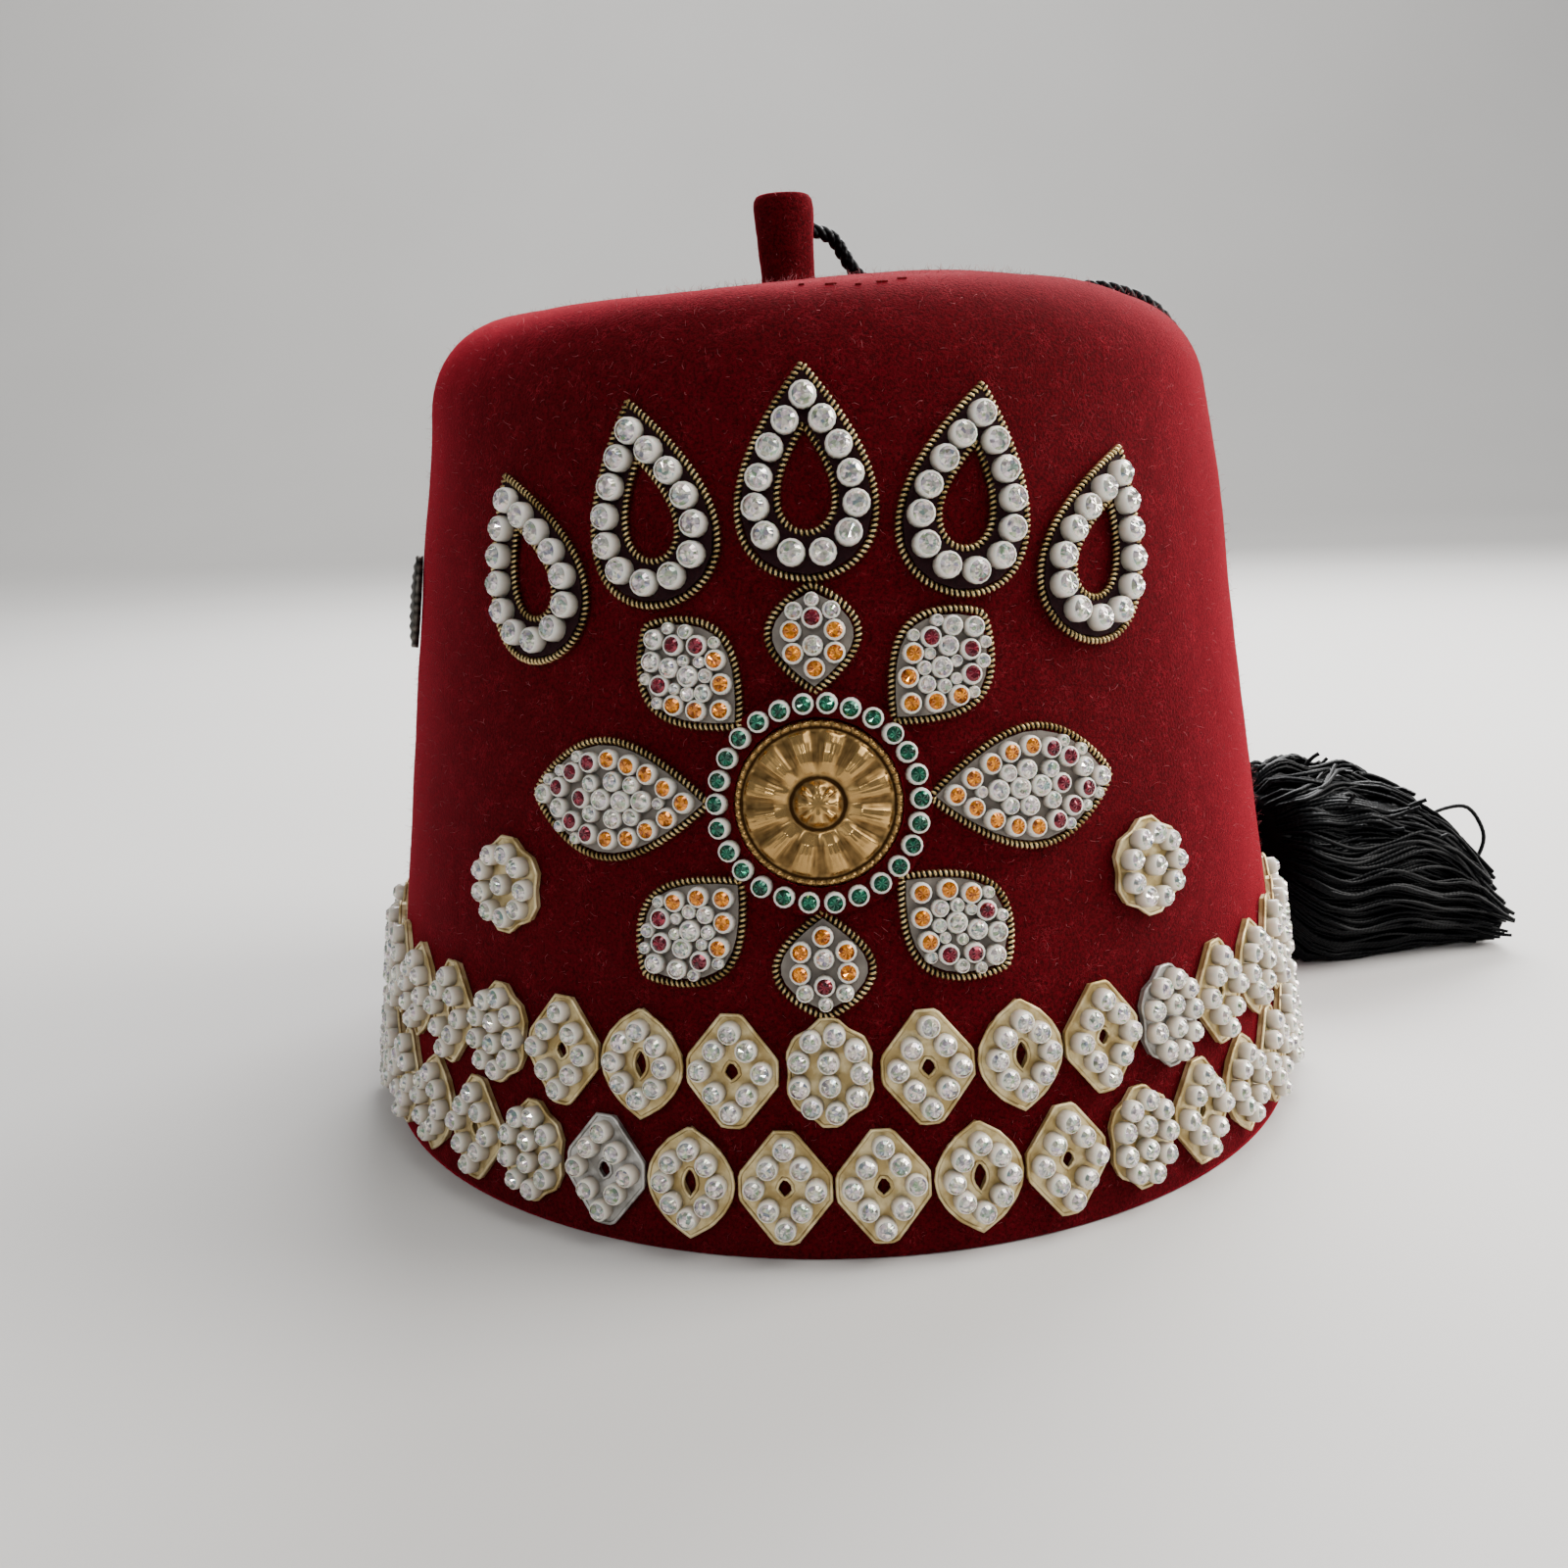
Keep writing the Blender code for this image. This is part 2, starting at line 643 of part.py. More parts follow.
def make_medallion(finish):
    """A stamped brass flower: a dome of twelve gadroons round a boss."""
    lay = on_crown(JEWEL_CENTRE, ROSETTE_HEIGHT)
    radius = MEDALLION_DIAMETER / 2
    gadroons = 12
    steps = 2 * gadroons
    upper = (
        # share of the radius, share of the rise, depth of the grooves as a share of the rise
        (1.00, 0.28, 0.00),
        (0.93, 0.44, 0.12),
        (0.74, 0.68, 0.24),
        (0.50, 0.80, 0.16),
        (0.40, 0.64, 0.00),
        (0.26, 0.96, 0.00),
        (0.12, 1.00, 0.00),
    )
    under = ((0.50, 0.0, 0.0), (1.00, 0.0, 0.0))
    points, rings = [], []
    for share, rise, groove in [*under, *upper]:
        rings.append(list(range(len(points), len(points) + steps)))
        for i in range(steps):
            turn = 2 * math.pi * i / steps
            hollow = 0.5 + 0.5 * math.cos(gadroons * turn)
            out = SEAT_GAP + MEDALLION_RISE * (rise - groove * hollow)
            points.append(lay(radius * share * math.cos(turn), radius * share * math.sin(turn), out))
    faces = [tuple(reversed(rings[0])), tuple(rings[-1])]
    for lower, upper in zip(rings, rings[1:]):
        faces += bridge(lower, upper)
    return make_object("medallion", points, faces, finish)


def loop_outline(width, length, count):
    """A closed teardrop with its point up, centred on its own box."""
    made = []
    for k in range(count):
        turn = 2 * math.pi * k / count
        x = -width / 2 * math.sin(turn) * abs(math.sin(turn / 2)) / 0.77
        made.append((x, length / 2 * math.cos(turn)))
    return made


# The fan of five loops above the rosette, as shares of FAN_WIDTH and FAN_DROP
LOOPS = (
    # name, across, down, lean in degrees
    ("loop_far_left", -0.50, 1.0, 24.0),
    ("loop_left", -0.255, 0.28, 12.0),
    ("loop_middle", 0.0, 0.0, 0.0),
    ("loop_right", 0.255, 0.28, -12.0),
    ("loop_far_right", 0.50, 1.0, -24.0),
)


def make_loops(finish):
    for name, across, down, lean in LOOPS:
        outer = loop_outline(LOOP_WIDTH, LOOP_LENGTH, 22)
        inner = loop_outline(LOOP_WIDTH - 2 * LOOP_STROKE, LOOP_LENGTH - 2.9 * LOOP_STROKE, 12)
        inner = [(x, y - 0.22 * LOOP_STROKE) for x, y in inner]
        lay = on_crown(JEWEL_CENTRE + across * FAN_WIDTH, FAN_HEIGHT - down * FAN_DROP, math.radians(lean))
        make_backing(name, outer, [inner], [], BACKING_THICKNESS, lay, finish)


def lozenge(width, height):
    """A lozenge with blunted corners."""
    blunt = 0.22
    right, top = width / 2, height / 2
    return [
        (right, -top * blunt),
        (right, top * blunt),
        (right * blunt, top),
        (-right * blunt, top),
        (-right, top * blunt),
        (-right, -top * blunt),
        (-right * blunt, -top),
        (right * blunt, -top),
    ]


def almond(width, height, count):
    """A pointed oval standing on one point."""
    right = [(0.0, -height / 2)]
    for k in range(1, count):
        share = k / count
        right.append((width / 2 * math.sin(math.pi * share) ** 0.75, -height / 2 + height * share))
    return right + [(0.0, height / 2)] + [(-x, y) for x, y in reversed(right[1:])]


def flower(width, height):
    """A six-lobed flower standing on one lobe."""
    made = []
    for k in range(18):
        turn = 2 * math.pi * k / 18
        reach = 0.93 - 0.07 * math.cos(6 * turn)
        made.append((width / 2 * reach * math.cos(turn), height / 2 * reach * math.sin(turn)))
    return made


def make_tiles(finish):
    """Two staggered rows of gilt plates: lozenges, flowers and almonds in turn from the middle out."""
    kinds = {
        "lozenge": (lozenge(TILE_WIDTH, TILE_DEPTH), [lozenge(TILE_HOLE * 0.8, TILE_HOLE)]),
        "flower": (flower(TILE_WIDTH, TILE_DEPTH), []),
        "almond": (almond(TILE_WIDTH, TILE_DEPTH, 5), [almond(TILE_HOLE * 0.8, TILE_HOLE * 1.6, 2)]),
    }
    rows = (
        # name, height up the felt, number of tiles, order of kinds from the middle out
        ("upper", UPPER_ROW_HEIGHT, UPPER_ROW_TILES, ("flower", "lozenge", "almond", "lozenge")),
        ("lower", LOWER_ROW_HEIGHT, LOWER_ROW_TILES, ("lozenge", "almond", "lozenge", "flower")),
    )
    for name, height, count, order in rows:
        for k in range(count):
            place = k - (count - 1) / 2
            outline, holes = kinds[order[int(abs(place)) % len(order)]]
            lay = on_crown(JEWEL_CENTRE + place * TILE_PITCH, height)
            make_backing(f"tile_{name}_{k + 1}", outline, holes, [], PLATE_THICKNESS, lay, finish)


def make_side_flowers(finish):
    """A small gilt flower plate at each side of the rosette."""
    outline = flower(SIDE_FLOWER_DIAMETER, SIDE_FLOWER_DIAMETER)
    for name, side in (("side_flower_left", -1), ("side_flower_right", 1)):
        lay = on_crown(JEWEL_CENTRE + side * SIDE_FLOWER_REACH, SIDE_FLOWER_HEIGHT)
        make_backing(name, outline, [], [], PLATE_THICKNESS, lay, finish)


def make_side_pin(finish):
    """A plain dark metal bar pinned upright on the left side."""
    lay = on_crown(arc_at_angle(math.radians(PIN_ANGLE), PIN_HEIGHT), PIN_HEIGHT)
    outline = [(x * PIN_WIDTH, y * PIN_DEPTH) for x, y in circle(0.5, 14)]
    make_backing("side_pin", outline, [], [], PIN_THICKNESS, lay, finish)


def main():
    for old in list(bpy.data.objects):
        bpy.data.objects.remove(old)
    red_felt = material("red_felt", (0.30, 0.010, 0.022), 0.95)
    black_silk = material("black_silk", (0.008, 0.008, 0.010), 0.55)
    ivory_felt = material("ivory_felt", (0.72, 0.70, 0.64), 0.9)
    gilt = material("gilt_leather", (0.70, 0.56, 0.30), 0.45, 0.6)
    brass = material("brass", (0.72, 0.52, 0.20), 0.3, 1.0)
    dark_metal = material("dark_metal", (0.05, 0.045, 0.04), 0.5, 1.0)
    make_crown(red_felt)
    make_stem(red_felt)
    make_cord(black_silk)
    make_tassel(black_silk)
    make_medallion(brass)
    make_rosette(ivory_felt, ivory_felt)
    make_loops(ivory_felt)
    make_tiles(gilt)
    make_side_flowers(gilt)
    make_side_pin(dark_metal)


main()
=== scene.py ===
"""A felt fez with a jewelled front: fine felt, stones in cups, bullion wire, gilt plates, cord and tassel.

Metres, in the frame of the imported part. The fez stands on its rim at z = 0 and its front faces -Y.
Angles on the crown run round from the front, positive towards +X, and heights up it are path lengths on
the felt, from the rim over the shoulder to the middle of the top.
"""

import math

import bpy
import numpy as np
from mathutils import Matrix, Vector, noise


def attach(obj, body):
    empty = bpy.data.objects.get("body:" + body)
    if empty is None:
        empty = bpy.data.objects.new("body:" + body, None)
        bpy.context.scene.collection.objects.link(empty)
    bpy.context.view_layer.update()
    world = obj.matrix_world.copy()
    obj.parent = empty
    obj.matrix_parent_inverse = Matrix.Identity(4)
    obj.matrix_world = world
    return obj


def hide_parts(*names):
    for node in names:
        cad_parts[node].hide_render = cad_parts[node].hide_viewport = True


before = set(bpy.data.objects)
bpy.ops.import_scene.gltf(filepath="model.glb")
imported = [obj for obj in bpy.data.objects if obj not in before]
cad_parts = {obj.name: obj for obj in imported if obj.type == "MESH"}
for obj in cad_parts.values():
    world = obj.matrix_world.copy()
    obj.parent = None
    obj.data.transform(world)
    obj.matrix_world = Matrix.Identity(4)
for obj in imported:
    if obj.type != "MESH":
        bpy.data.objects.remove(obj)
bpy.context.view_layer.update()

# Felt crown
BASE_WIDTH = 0.1830
BASE_LENGTH = 0.1990
TOP_WIDTH = 0.1430
TOP_LENGTH = 0.1560
WALL_HEIGHT = 0.1477
SHOULDER_RADIUS = 0.0190
DOME_RISE = 0.0046
TOP_TILT = 0.012
FELT_THICKNESS = 0.0026
FELT_RELIEF = 0.00022
NAP_LENGTH = 0.0016
NAP_PER_SQUARE_METRE = 125000.0
UNEVENNESS = (
    # angle, path, reach, swell
    (48.0, 0.80, 0.14, 0.0060),
    (64.0, 0.70, 0.11, -0.0085),
    (-18.0, 0.80, 0.13, -0.0045),
    (-70.0, 0.66, 0.07, 0.0065),
    (-72.0, 0.56, 0.07, -0.0040),
    (74.0, 0.50, 0.12, 0.0040),
)

# Stem
STEM_DIAMETER = 0.0114
STEM_FOOT_DIAMETER = 0.0104
STEM_HEIGHT = 0.0172
STEM_X = -0.0040
STEM_LEAN = 0.0006

# Needle marks near the front of the top
NEEDLE_WIDTH = 0.0004
NEEDLE_MARKS = (
    # angle, share of the path, length
    (-3.0, 0.694, 0.0009),
    (1.2, 0.690, 0.0018),
    (5.0, 0.686, 0.0009),
    (8.5, 0.689, 0.0018),
    (11.8, 0.695, 0.0015),
)

# Cord and tassel
CORD_DIAMETER = 0.0030
CORD_PLIES = 3
PLY_TURN = 0.0070
CORD_EXIT_HEIGHT = 0.0108
CORD_EXIT_ANGLE = 127.0
TASSEL_HEAD = (0.0940, 0.0380, 0.0350)
TASSEL_HEAD_DIAMETER = 0.0140
TASSEL_HEAD_LENGTH = 0.0170
TASSEL_HEAD_PITCH = 30.0
TASSEL_YAW = 20.0
TASSEL_LENGTH = 0.0575
TASSEL_SPREAD = 0.0530
TASSEL_HEIGHT = 0.0440
TASSEL_LOCKS = 34
TASSEL_STRANDS = 900
FILLING_STRANDS = 480
STRAND_DIAMETER = 0.0010

# Jewel work
JEWEL_CENTRE = -0.0040
SEAT_GAP = 0.0003
BACKING_THICKNESS = 0.0010
STONE_DIAMETER = 0.0032
STONE_PITCH = 0.0035
STONE_MARGIN = 0.0005
SMALL_CUP = 0.0033
CLEAR_CUP = 0.0034
CUP_HEIGHT = 0.0018
EDGE_STEP = 0.0009
MEDALLION_DIAMETER = 0.0252
MEDALLION_RISE = 0.0044
ROSETTE_HEIGHT = 0.0705
ROSETTE_WIDTH = 0.0940
ROSETTE_DEPTH = 0.0630
PETAL_WIDTH = 0.0168
PETAL_COUNT = 8
FAN_HEIGHT = 0.1195
FAN_WIDTH = 0.0960
FAN_DROP = 0.0130
LOOP_WIDTH = 0.0190
LOOP_LENGTH = 0.0300
LOOP_STROKE = 0.0046
COIL_DIAMETER = 0.0014
COIL_WIRE = 0.00052
COIL_TURN = 0.00084

# Gilt plates
PLATE_THICKNESS = 0.0010
TILE_WIDTH = 0.0138
TILE_DEPTH = 0.0172
TILE_PITCH = 0.0148
TILE_HOLE = 0.0032
UPPER_ROW_HEIGHT = 0.0296
UPPER_ROW_TILES = 19
LOWER_ROW_HEIGHT = 0.0118
LOWER_ROW_TILES = 18
SILVERED_TILES = (("lower", 6), ("upper", 13))
SIDE_FLOWER_REACH = 0.0560
SIDE_FLOWER_HEIGHT = 0.0545
SIDE_FLOWER_DIAMETER = 0.0162
PEARL_DIAMETER = 0.0035
PEARL_PITCH = 0.00355
PEARL_HEIGHT = 0.0022
LARGE_CUP = 0.0042
FILL_CUPS = (0.0032, 0.0028, 0.0023, 0.0019)
ROLLED_EDGE = 0.00065

# Pin on the left side
PIN_WIDTH = 0.0090
PIN_DEPTH = 0.0175
PIN_THICKNESS = 0.0020
PIN_ANGLE = -76.0
PIN_HEIGHT = 0.0975


def link(name, mesh):
    """A new object in the scene."""
    made = bpy.data.objects.new(name, mesh)
    bpy.context.scene.collection.objects.link(made)
    return made


def full_turn(count):
    """Angles evenly round a circle."""
    return np.linspace(0, 2 * math.pi, count, endpoint=False)


def level_ring(turns, radius, height):
    """Points round the Z axis, at those angles."""
    return np.stack([radius * np.cos(turns), radius * np.sin(turns), height + 0 * turns], 1)


def travelled(points):
    """How far along a line of points each of them lies."""
    return np.concatenate([[0], np.cumsum(np.linalg.norm(np.diff(points, axis=0), axis=1))])


# Camera, floor and light


def place_camera():
    """The photograph's viewpoint: in front, a little above the crown's middle, rolled by two degrees."""
    data = bpy.data.cameras.new("camera")
    # The sensor is as wide as the lens is long, so the view is 53 degrees wide
    data.lens = data.sensor_width = 36
    data.clip_start = 0.01
    camera = link("camera", data)
    right = (0.99909, -0.00889, -0.04161)
    up = (0.04255, 0.20864, 0.97707)
    back = (0.0, -0.97795, 0.20883)
    camera.matrix_world = Matrix((right, up, back)).transposed().to_4x4()
    camera.location = (-0.00910, -0.31897, 0.12186)
    bpy.context.scene.camera = camera


def place_softbox(name, place, size, watts, tint, aim=(0.0, 0.0, 0.08)):
    """A rectangular light that shines towards aim."""
    data = bpy.data.lights.new(name, "AREA")
    data.shape = "RECTANGLE"
    data.size, data.size_y = size
    data.energy = watts
    data.color = tint
    box = link(name, data)
    box.location = place
    box.rotation_euler = (Vector(aim) - Vector(place)).to_track_quat("-Z", "Y").to_euler()


def light_studio():
    """A window at the right and one behind, soft fill, and a wash on the backdrop."""
    world = bpy.data.worlds.new("studio")
    world.use_nodes = True
    sky = world.node_tree.nodes["Background"].inputs
    sky["Color"].default_value = (0.95, 0.97, 1.0, 1.0)
    sky["Strength"].default_value = 0.31
    bpy.context.scene.world = world
    place_softbox("window_right", (0.85, 0.05, 0.55), (0.50, 0.70), 15.0, (1.0, 0.97, 0.93))
    place_softbox("window_behind", (0.25, 0.85, 0.75), (1.00, 0.45), 27.0, (0.99, 0.99, 1.0))
    place_softbox("fill_left", (-0.80, -0.65, 0.45), (0.45, 0.60), 0.7, (0.97, 0.98, 1.0))
    place_softbox("backdrop_wash", (0.0, 0.9, 2.0), (3.0, 0.5), 60.0, (1.0, 1.0, 1.0), (0.0, 3.0, 0.7))
    place_softbox("skylight", (0.45, -0.15, 0.95), (0.70, 0.70), 7.5, (1.0, 0.98, 0.96))
    place_softbox("small_front", (-0.18, -0.85, 0.55), (0.10, 0.10), 1.6, (1.0, 1.0, 1.0))


# The crown's surface


def wall_slope():
    """How far the front wall leans in, in radians."""
    return math.atan2((BASE_LENGTH - TOP_LENGTH) / 2, WALL_HEIGHT)


def shoulder_path():
    """Path lengths where the wall ends, where the shoulder ends, and where the top's middle is."""
    slope = wall_slope()
    corner = WALL_HEIGHT / math.cos(slope)
    tangent = SHOULDER_RADIUS * math.tan((math.pi / 2 - slope) / 2)
    wall_end = corner - tangent
    shoulder_end = wall_end + SHOULDER_RADIUS * (math.pi / 2 - slope)
    return wall_end, shoulder_end, shoulder_end + TOP_LENGTH / 2 - tangent


WALL_END, SHOULDER_END, MIDDLE = shoulder_path()


def smooth_crown(angle, path):
    """Points on the crown's outer surface without its unevenness."""
    angle, path = np.broadcast_arrays(np.asarray(angle, float), np.asarray(path, float))
    slope = wall_slope()
    turned = np.clip(path - WALL_END, 0, SHOULDER_END - WALL_END) / SHOULDER_RADIUS
    inwards = np.clip((path - SHOULDER_END) / (MIDDLE - SHOULDER_END), 0, 1)
    height = np.clip(path, None, WALL_END) * math.cos(slope)
    share = height / WALL_HEIGHT
    inset = SHOULDER_RADIUS * (math.cos(slope) - np.cos(slope + turned))
    height = height + SHOULDER_RADIUS * (np.sin(slope + turned) - math.sin(slope))
    half_x = BASE_WIDTH / 2 + (TOP_WIDTH - BASE_WIDTH) / 2 * share - inset
    half_y = BASE_LENGTH / 2 + (TOP_LENGTH - BASE_LENGTH) / 2 * share - inset
    x = half_x * (1 - inwards) * np.sin(angle)
    y = -half_y * (1 - inwards) * np.cos(angle)
    z = height + DOME_RISE * (1 - (1 - inwards) ** 2) + TOP_TILT * x * (height / WALL_HEIGHT) ** 4
    return np.stack([x, y, z], -1)


def crown_normal(angle, path):
    """Unit vectors out of the smooth crown."""
    step = 1e-4
    path = np.minimum(path, MIDDLE - 2 * step)
    across = smooth_crown(angle + step, path) - smooth_crown(angle - step, path)
    up = smooth_crown(angle, path + step) - smooth_crown(angle, path - step)
    normal = np.cross(across, up)
    return normal / np.linalg.norm(normal, axis=-1, keepdims=True)


def crown_point(angle, path, out=0.0):
    """Points a distance out from the felt's uneven outer surface."""
    angle, path = np.broadcast_arrays(np.asarray(angle, float), np.asarray(path, float))
    points = smooth_crown(angle, path)
    swell = np.zeros(points.shape[:-1])
    for at_angle, at_path, reach, height in UNEVENNESS:
        centre = smooth_crown(math.radians(at_angle), at_path * MIDDLE)
        away = np.linalg.norm(points - centre, axis=-1) / (reach * BASE_WIDTH)
        swell = swell + height * BASE_WIDTH * np.exp(-away * away)
    lift = np.asarray(out, float) + swell
    return points + crown_normal(angle, path) * lift[..., None]


def angle_at_arc(arc, path):
    """The angle on the crown that lies a length of arc away from the front, at one path height."""
    angles = np.linspace(-math.pi, math.pi, 721)
    lengths = travelled(smooth_crown(angles, path))
    # The middle one of the 721 angles is the front
    return np.interp(arc, lengths - lengths[360], angles)


def arc_at_angle(angle, path):
    """The length of arc from the front to an angle, at one path height."""
    ring = smooth_crown(np.linspace(0, angle, 60), path)
    return math.copysign(float(np.linalg.norm(np.diff(ring, axis=0), axis=1).sum()), angle)


class Patch:
    """A flat motif's place on the felt: where its middle lies, and how far it is turned."""

    def __init__(self, arc, path, turn=0.0):
        self.arc = arc
        self.path = path
        self.turn = turn

    def spots(self, flat):
        """Angles and paths on the crown of flat points."""
        x, y = np.asarray(flat, float).T
        across = x * math.cos(self.turn) - y * math.sin(self.turn)
        up = x * math.sin(self.turn) + y * math.cos(self.turn)
        return angle_at_arc(self.arc + across, self.path), self.path + up

    def lay(self, flat, out):
        """Flat points a distance out from the felt."""
        angle, path = self.spots(flat)
        return crown_point(angle, path, out)

    def facing(self, flat):
        """The way that the felt faces under flat points."""
        return crown_normal(*self.spots(flat))


# Nodes


def colour(code):
    """An sRGB hex value as linear RGBA."""
    parts = [int(code[k : k + 2], 16) / 255 for k in (1, 3, 5)]
    return (*(c / 12.92 if c <= 0.04045 else ((c + 0.055) / 1.055) ** 2.4 for c in parts), 1.0)


def add(tree, kind, settings=None, sockets=None):
    """Adds a node. Sockets are set to a value, or linked to another node's output."""
    made = tree.nodes.new(kind)
    for key, value in (settings or {}).items():
        setattr(made, key, value)
    for key, value in (sockets or {}).items():
        if isinstance(value, bpy.types.NodeSocket):
            tree.links.new(value, made.inputs[key])
        else:
            made.inputs[key].default_value = value
    return made


def result(tree, kind, settings=None, sockets=None, socket=0):
    """What a new node gives at one of its outputs."""
    return add(tree, kind, settings, sockets).outputs[socket]


def maths(tree, operation, *values):
    """The result of an operation on numbers and other nodes' outputs."""
    return result(tree, "ShaderNodeMath", {"operation": operation}, dict(enumerate(values)))


def object_place(tree):
    """Each point's own coordinates on its piece, in metres."""
    return result(tree, "ShaderNodeTexCoord", socket="Object")


def noise_at(tree, place, scale, detail, **more):
    """Noise between 0 and 1, with scale cells to the metre."""
    sockets = {"Vector": place, "Scale": scale, "Detail": detail, **more}
    return result(tree, "ShaderNodeTexNoise", None, sockets, "Fac")


def cells_at(tree, place, scale, socket):
    """What a pattern of cells, scale to the metre, gives at one of its outputs."""
    return result(tree, "ShaderNodeTexVoronoi", {"feature": "F1"}, {"Vector": place, "Scale": scale}, socket)


def attribute(tree, name, socket="Fac"):
    """What the piece's attribute of that name holds."""
    return result(tree, "ShaderNodeAttribute", {"attribute_name": name}, None, socket)


def ranged(tree, value, low, high, to_low=0.0, to_high=1.0):
    """A value carried from one range to another and kept within it."""
    sockets = {"Value": value, "From Min": low, "From Max": high, "To Min": to_low, "To Max": to_high}
    return result(tree, "ShaderNodeMapRange", None, sockets)


def mixed(tree, share, first, second):
    """A colour between two, each a hex value or another node's output."""
    first, second = (colour(c) if isinstance(c, str) else c for c in (first, second))
    return result(tree, "ShaderNodeMix", {"data_type": "RGBA"}, {0: share, 6: first, 7: second}, 2)


def bumped(tree, height, strength, distance):
    """A normal that follows a height."""
    sockets = {"Height": height, "Strength": strength, "Distance": distance}
    return result(tree, "ShaderNodeBump", None, sockets)


def new_finish(name, sockets):
    """A Principled material: its tree, and a function that links its sockets and returns it."""
    made = bpy.data.materials.new(name)
    made.use_nodes = True
    tree = made.node_tree
    tree.nodes.clear()
    shader = add(tree, "ShaderNodeBsdfPrincipled", None, sockets)
    add(tree, "ShaderNodeOutputMaterial", None, {"Surface": shader.outputs[0]})

    def close(links):
        for key, value in links.items():
            tree.links.new(value, shader.inputs[key])
        return made

    return tree, close


def felt_finish():
    """Fur felt, dyed cardinal and brushed: a deep red ground, a glow at its edges, and pale curled fibres."""
    sockets = {
        "Roughness": 0.95,
        "Specular IOR Level": 0.06,
        "Sheen Weight": 0.8,
        "Sheen Roughness": 0.30,
        "Sheen Tint": colour("#e02440"),
    }
    tree, close = new_finish("brushed_fur_felt", sockets)
    place = object_place(tree)
    # Clouds of 40 mm where the nap lies differently
    cloud = noise_at(tree, place, 25, 3)
    # Tufts of 0.5 mm
    tuft = noise_at(tree, place, 2000, 3, Roughness=0.7)
    red = mixed(tree, cloud, "#4a0208", "#5c0410")
    red = mixed(tree, ranged(tree, tuft, 0.36, 0.62), "#2c0002", red)
    # Curled fibres, 0.1 mm thick: the level lines of a warped noise
    lines = []
    for scale, level in ((520, 0.50), (760, 0.53)):
        warp = noise_at(tree, place, scale, 1, Distortion=1.2)
        away = maths(tree, "ABSOLUTE", maths(tree, "SUBTRACT", warp, level))
        lines.append(ranged(tree, away, 0.0, 0.014, 1.0, 0.0))
    fibre = maths(tree, "MAXIMUM", *lines)
    # Fibres show in patches of 4 mm, where the nap is up
    patch = ranged(tree, noise_at(tree, place, 260, 2), 0.45, 0.72, 0.0, 0.40)
    shown = maths(tree, "MULTIPLY", fibre, patch)
    red = mixed(tree, shown, red, "#a8343e")
    height = maths(tree, "MULTIPLY_ADD", shown, 0.6, tuft)
    return close({"Base Color": red, "Normal": bumped(tree, height, 0.6, 0.0003)})


def fibre_finish():
    """Rabbit hair, pulled up out of the felt: fibres from cardinal red to a dusty pink."""
    tree, close = new_finish("loose_rabbit_hair", {"Roughness": 0.7})
    # A tone for each 1.4 mm, so that neighbours differ
    tone = ranged(tree, noise_at(tree, object_place(tree), 700, 1), 0.40, 0.66)
    return close({"Base Color": mixed(tree, tone, "#700a14", "#bc6068")})


def acrylic_finish(name, code, shade):
    """Acrylic, moulded and pearlised: waxy and bright at the lip, with painted shade that greys each cup low
    down, towards its foot.
    """
    sockets = {"Roughness": 0.3, "Subsurface Weight": 0.2, "Subsurface Scale": 0.001, "Coat Weight": 0.25}
    tree, close = new_finish(name, sockets)
    # Faint differences from cup to cup, and handling dirt of about 2 mm
    tone = noise_at(tree, object_place(tree), 500, 2)
    # Painted shade: the recess attribute greys each cup from the lip down to its foot
    grey = maths(tree, "MULTIPLY_ADD", tone, 0.25, attribute(tree, "recess"))
    return close({"Base Color": mixed(tree, grey, code, shade)})


def glass_finish(name, deep, bright, metallic, rainbow):
    """Cut glass over foil: its facets mirror light through the stone's colour, under a clear polish."""
    sockets = {
        "Metallic": metallic,
        "Roughness": 0.10,
        "Coat Weight": 0.6,
        "Coat Roughness": 0.02,
        "Coat IOR": 1.55,
    }
    tree, close = new_finish(name, sockets)
    # Painted sparkle: cells of 0.6 mm, each between the deep and the bright colour, stand in for light and
    # dark facets
    cell = cells_at(tree, object_place(tree), 1650, "Color")
    painted_sparkle = result(tree, "ShaderNodeSeparateColor", None, {"Color": cell})
    return close({"Base Color": mixed(tree, rainbow, mixed(tree, painted_sparkle, deep, bright), cell)})


def bullion_finish():
    """Brass wire, drawn and coiled into purl: antique gold, tarnished in stretches."""
    tree, close = new_finish("coiled_brass_wire", {"Metallic": 1.0, "Roughness": 0.36})
    # Tarnish in stretches of 8 mm
    tarnish = ranged(tree, noise_at(tree, object_place(tree), 120, 3), 0.35, 0.65)
    return close({"Base Color": mixed(tree, tarnish, "#8a7348", "#dcc38c")})


def gilt_finish(name, pale, worn, metallic):
    """Kid leather, gilded or silvered and pressed: fine grain, and worn darker specks."""
    tree, close = new_finish(name, {"Metallic": metallic, "Roughness": 0.42, "Coat Weight": 0.15})
    place = object_place(tree)
    # Leather grain of 0.5 mm
    grain = cells_at(tree, place, 2000, "Distance")
    # Wear in spots of 3 mm
    wear = ranged(tree, noise_at(tree, place, 330, 4), 0.42, 0.62)
    return close({"Base Color": mixed(tree, wear, worn, pale), "Normal": bumped(tree, grain, 0.35, 0.0001)})


def brass_finish():
    """Brass, stamped: bright on the raised parts, brown with age where the recess attribute is high."""
    tree, close = new_finish("stamped_brass", {"Metallic": 1.0})
    # Handling marks of 1.5 mm
    mark = noise_at(tree, object_place(tree), 650, 4)
    aged = ranged(tree, maths(tree, "MULTIPLY_ADD", mark, 0.5, attribute(tree, "recess")), 0.28, 1.0)
    rough = ranged(tree, aged, 0.0, 1.0, 0.24, 0.55)
    return close({"Base Color": mixed(tree, aged, "#b8935a", "#34210f"), "Roughness": rough})


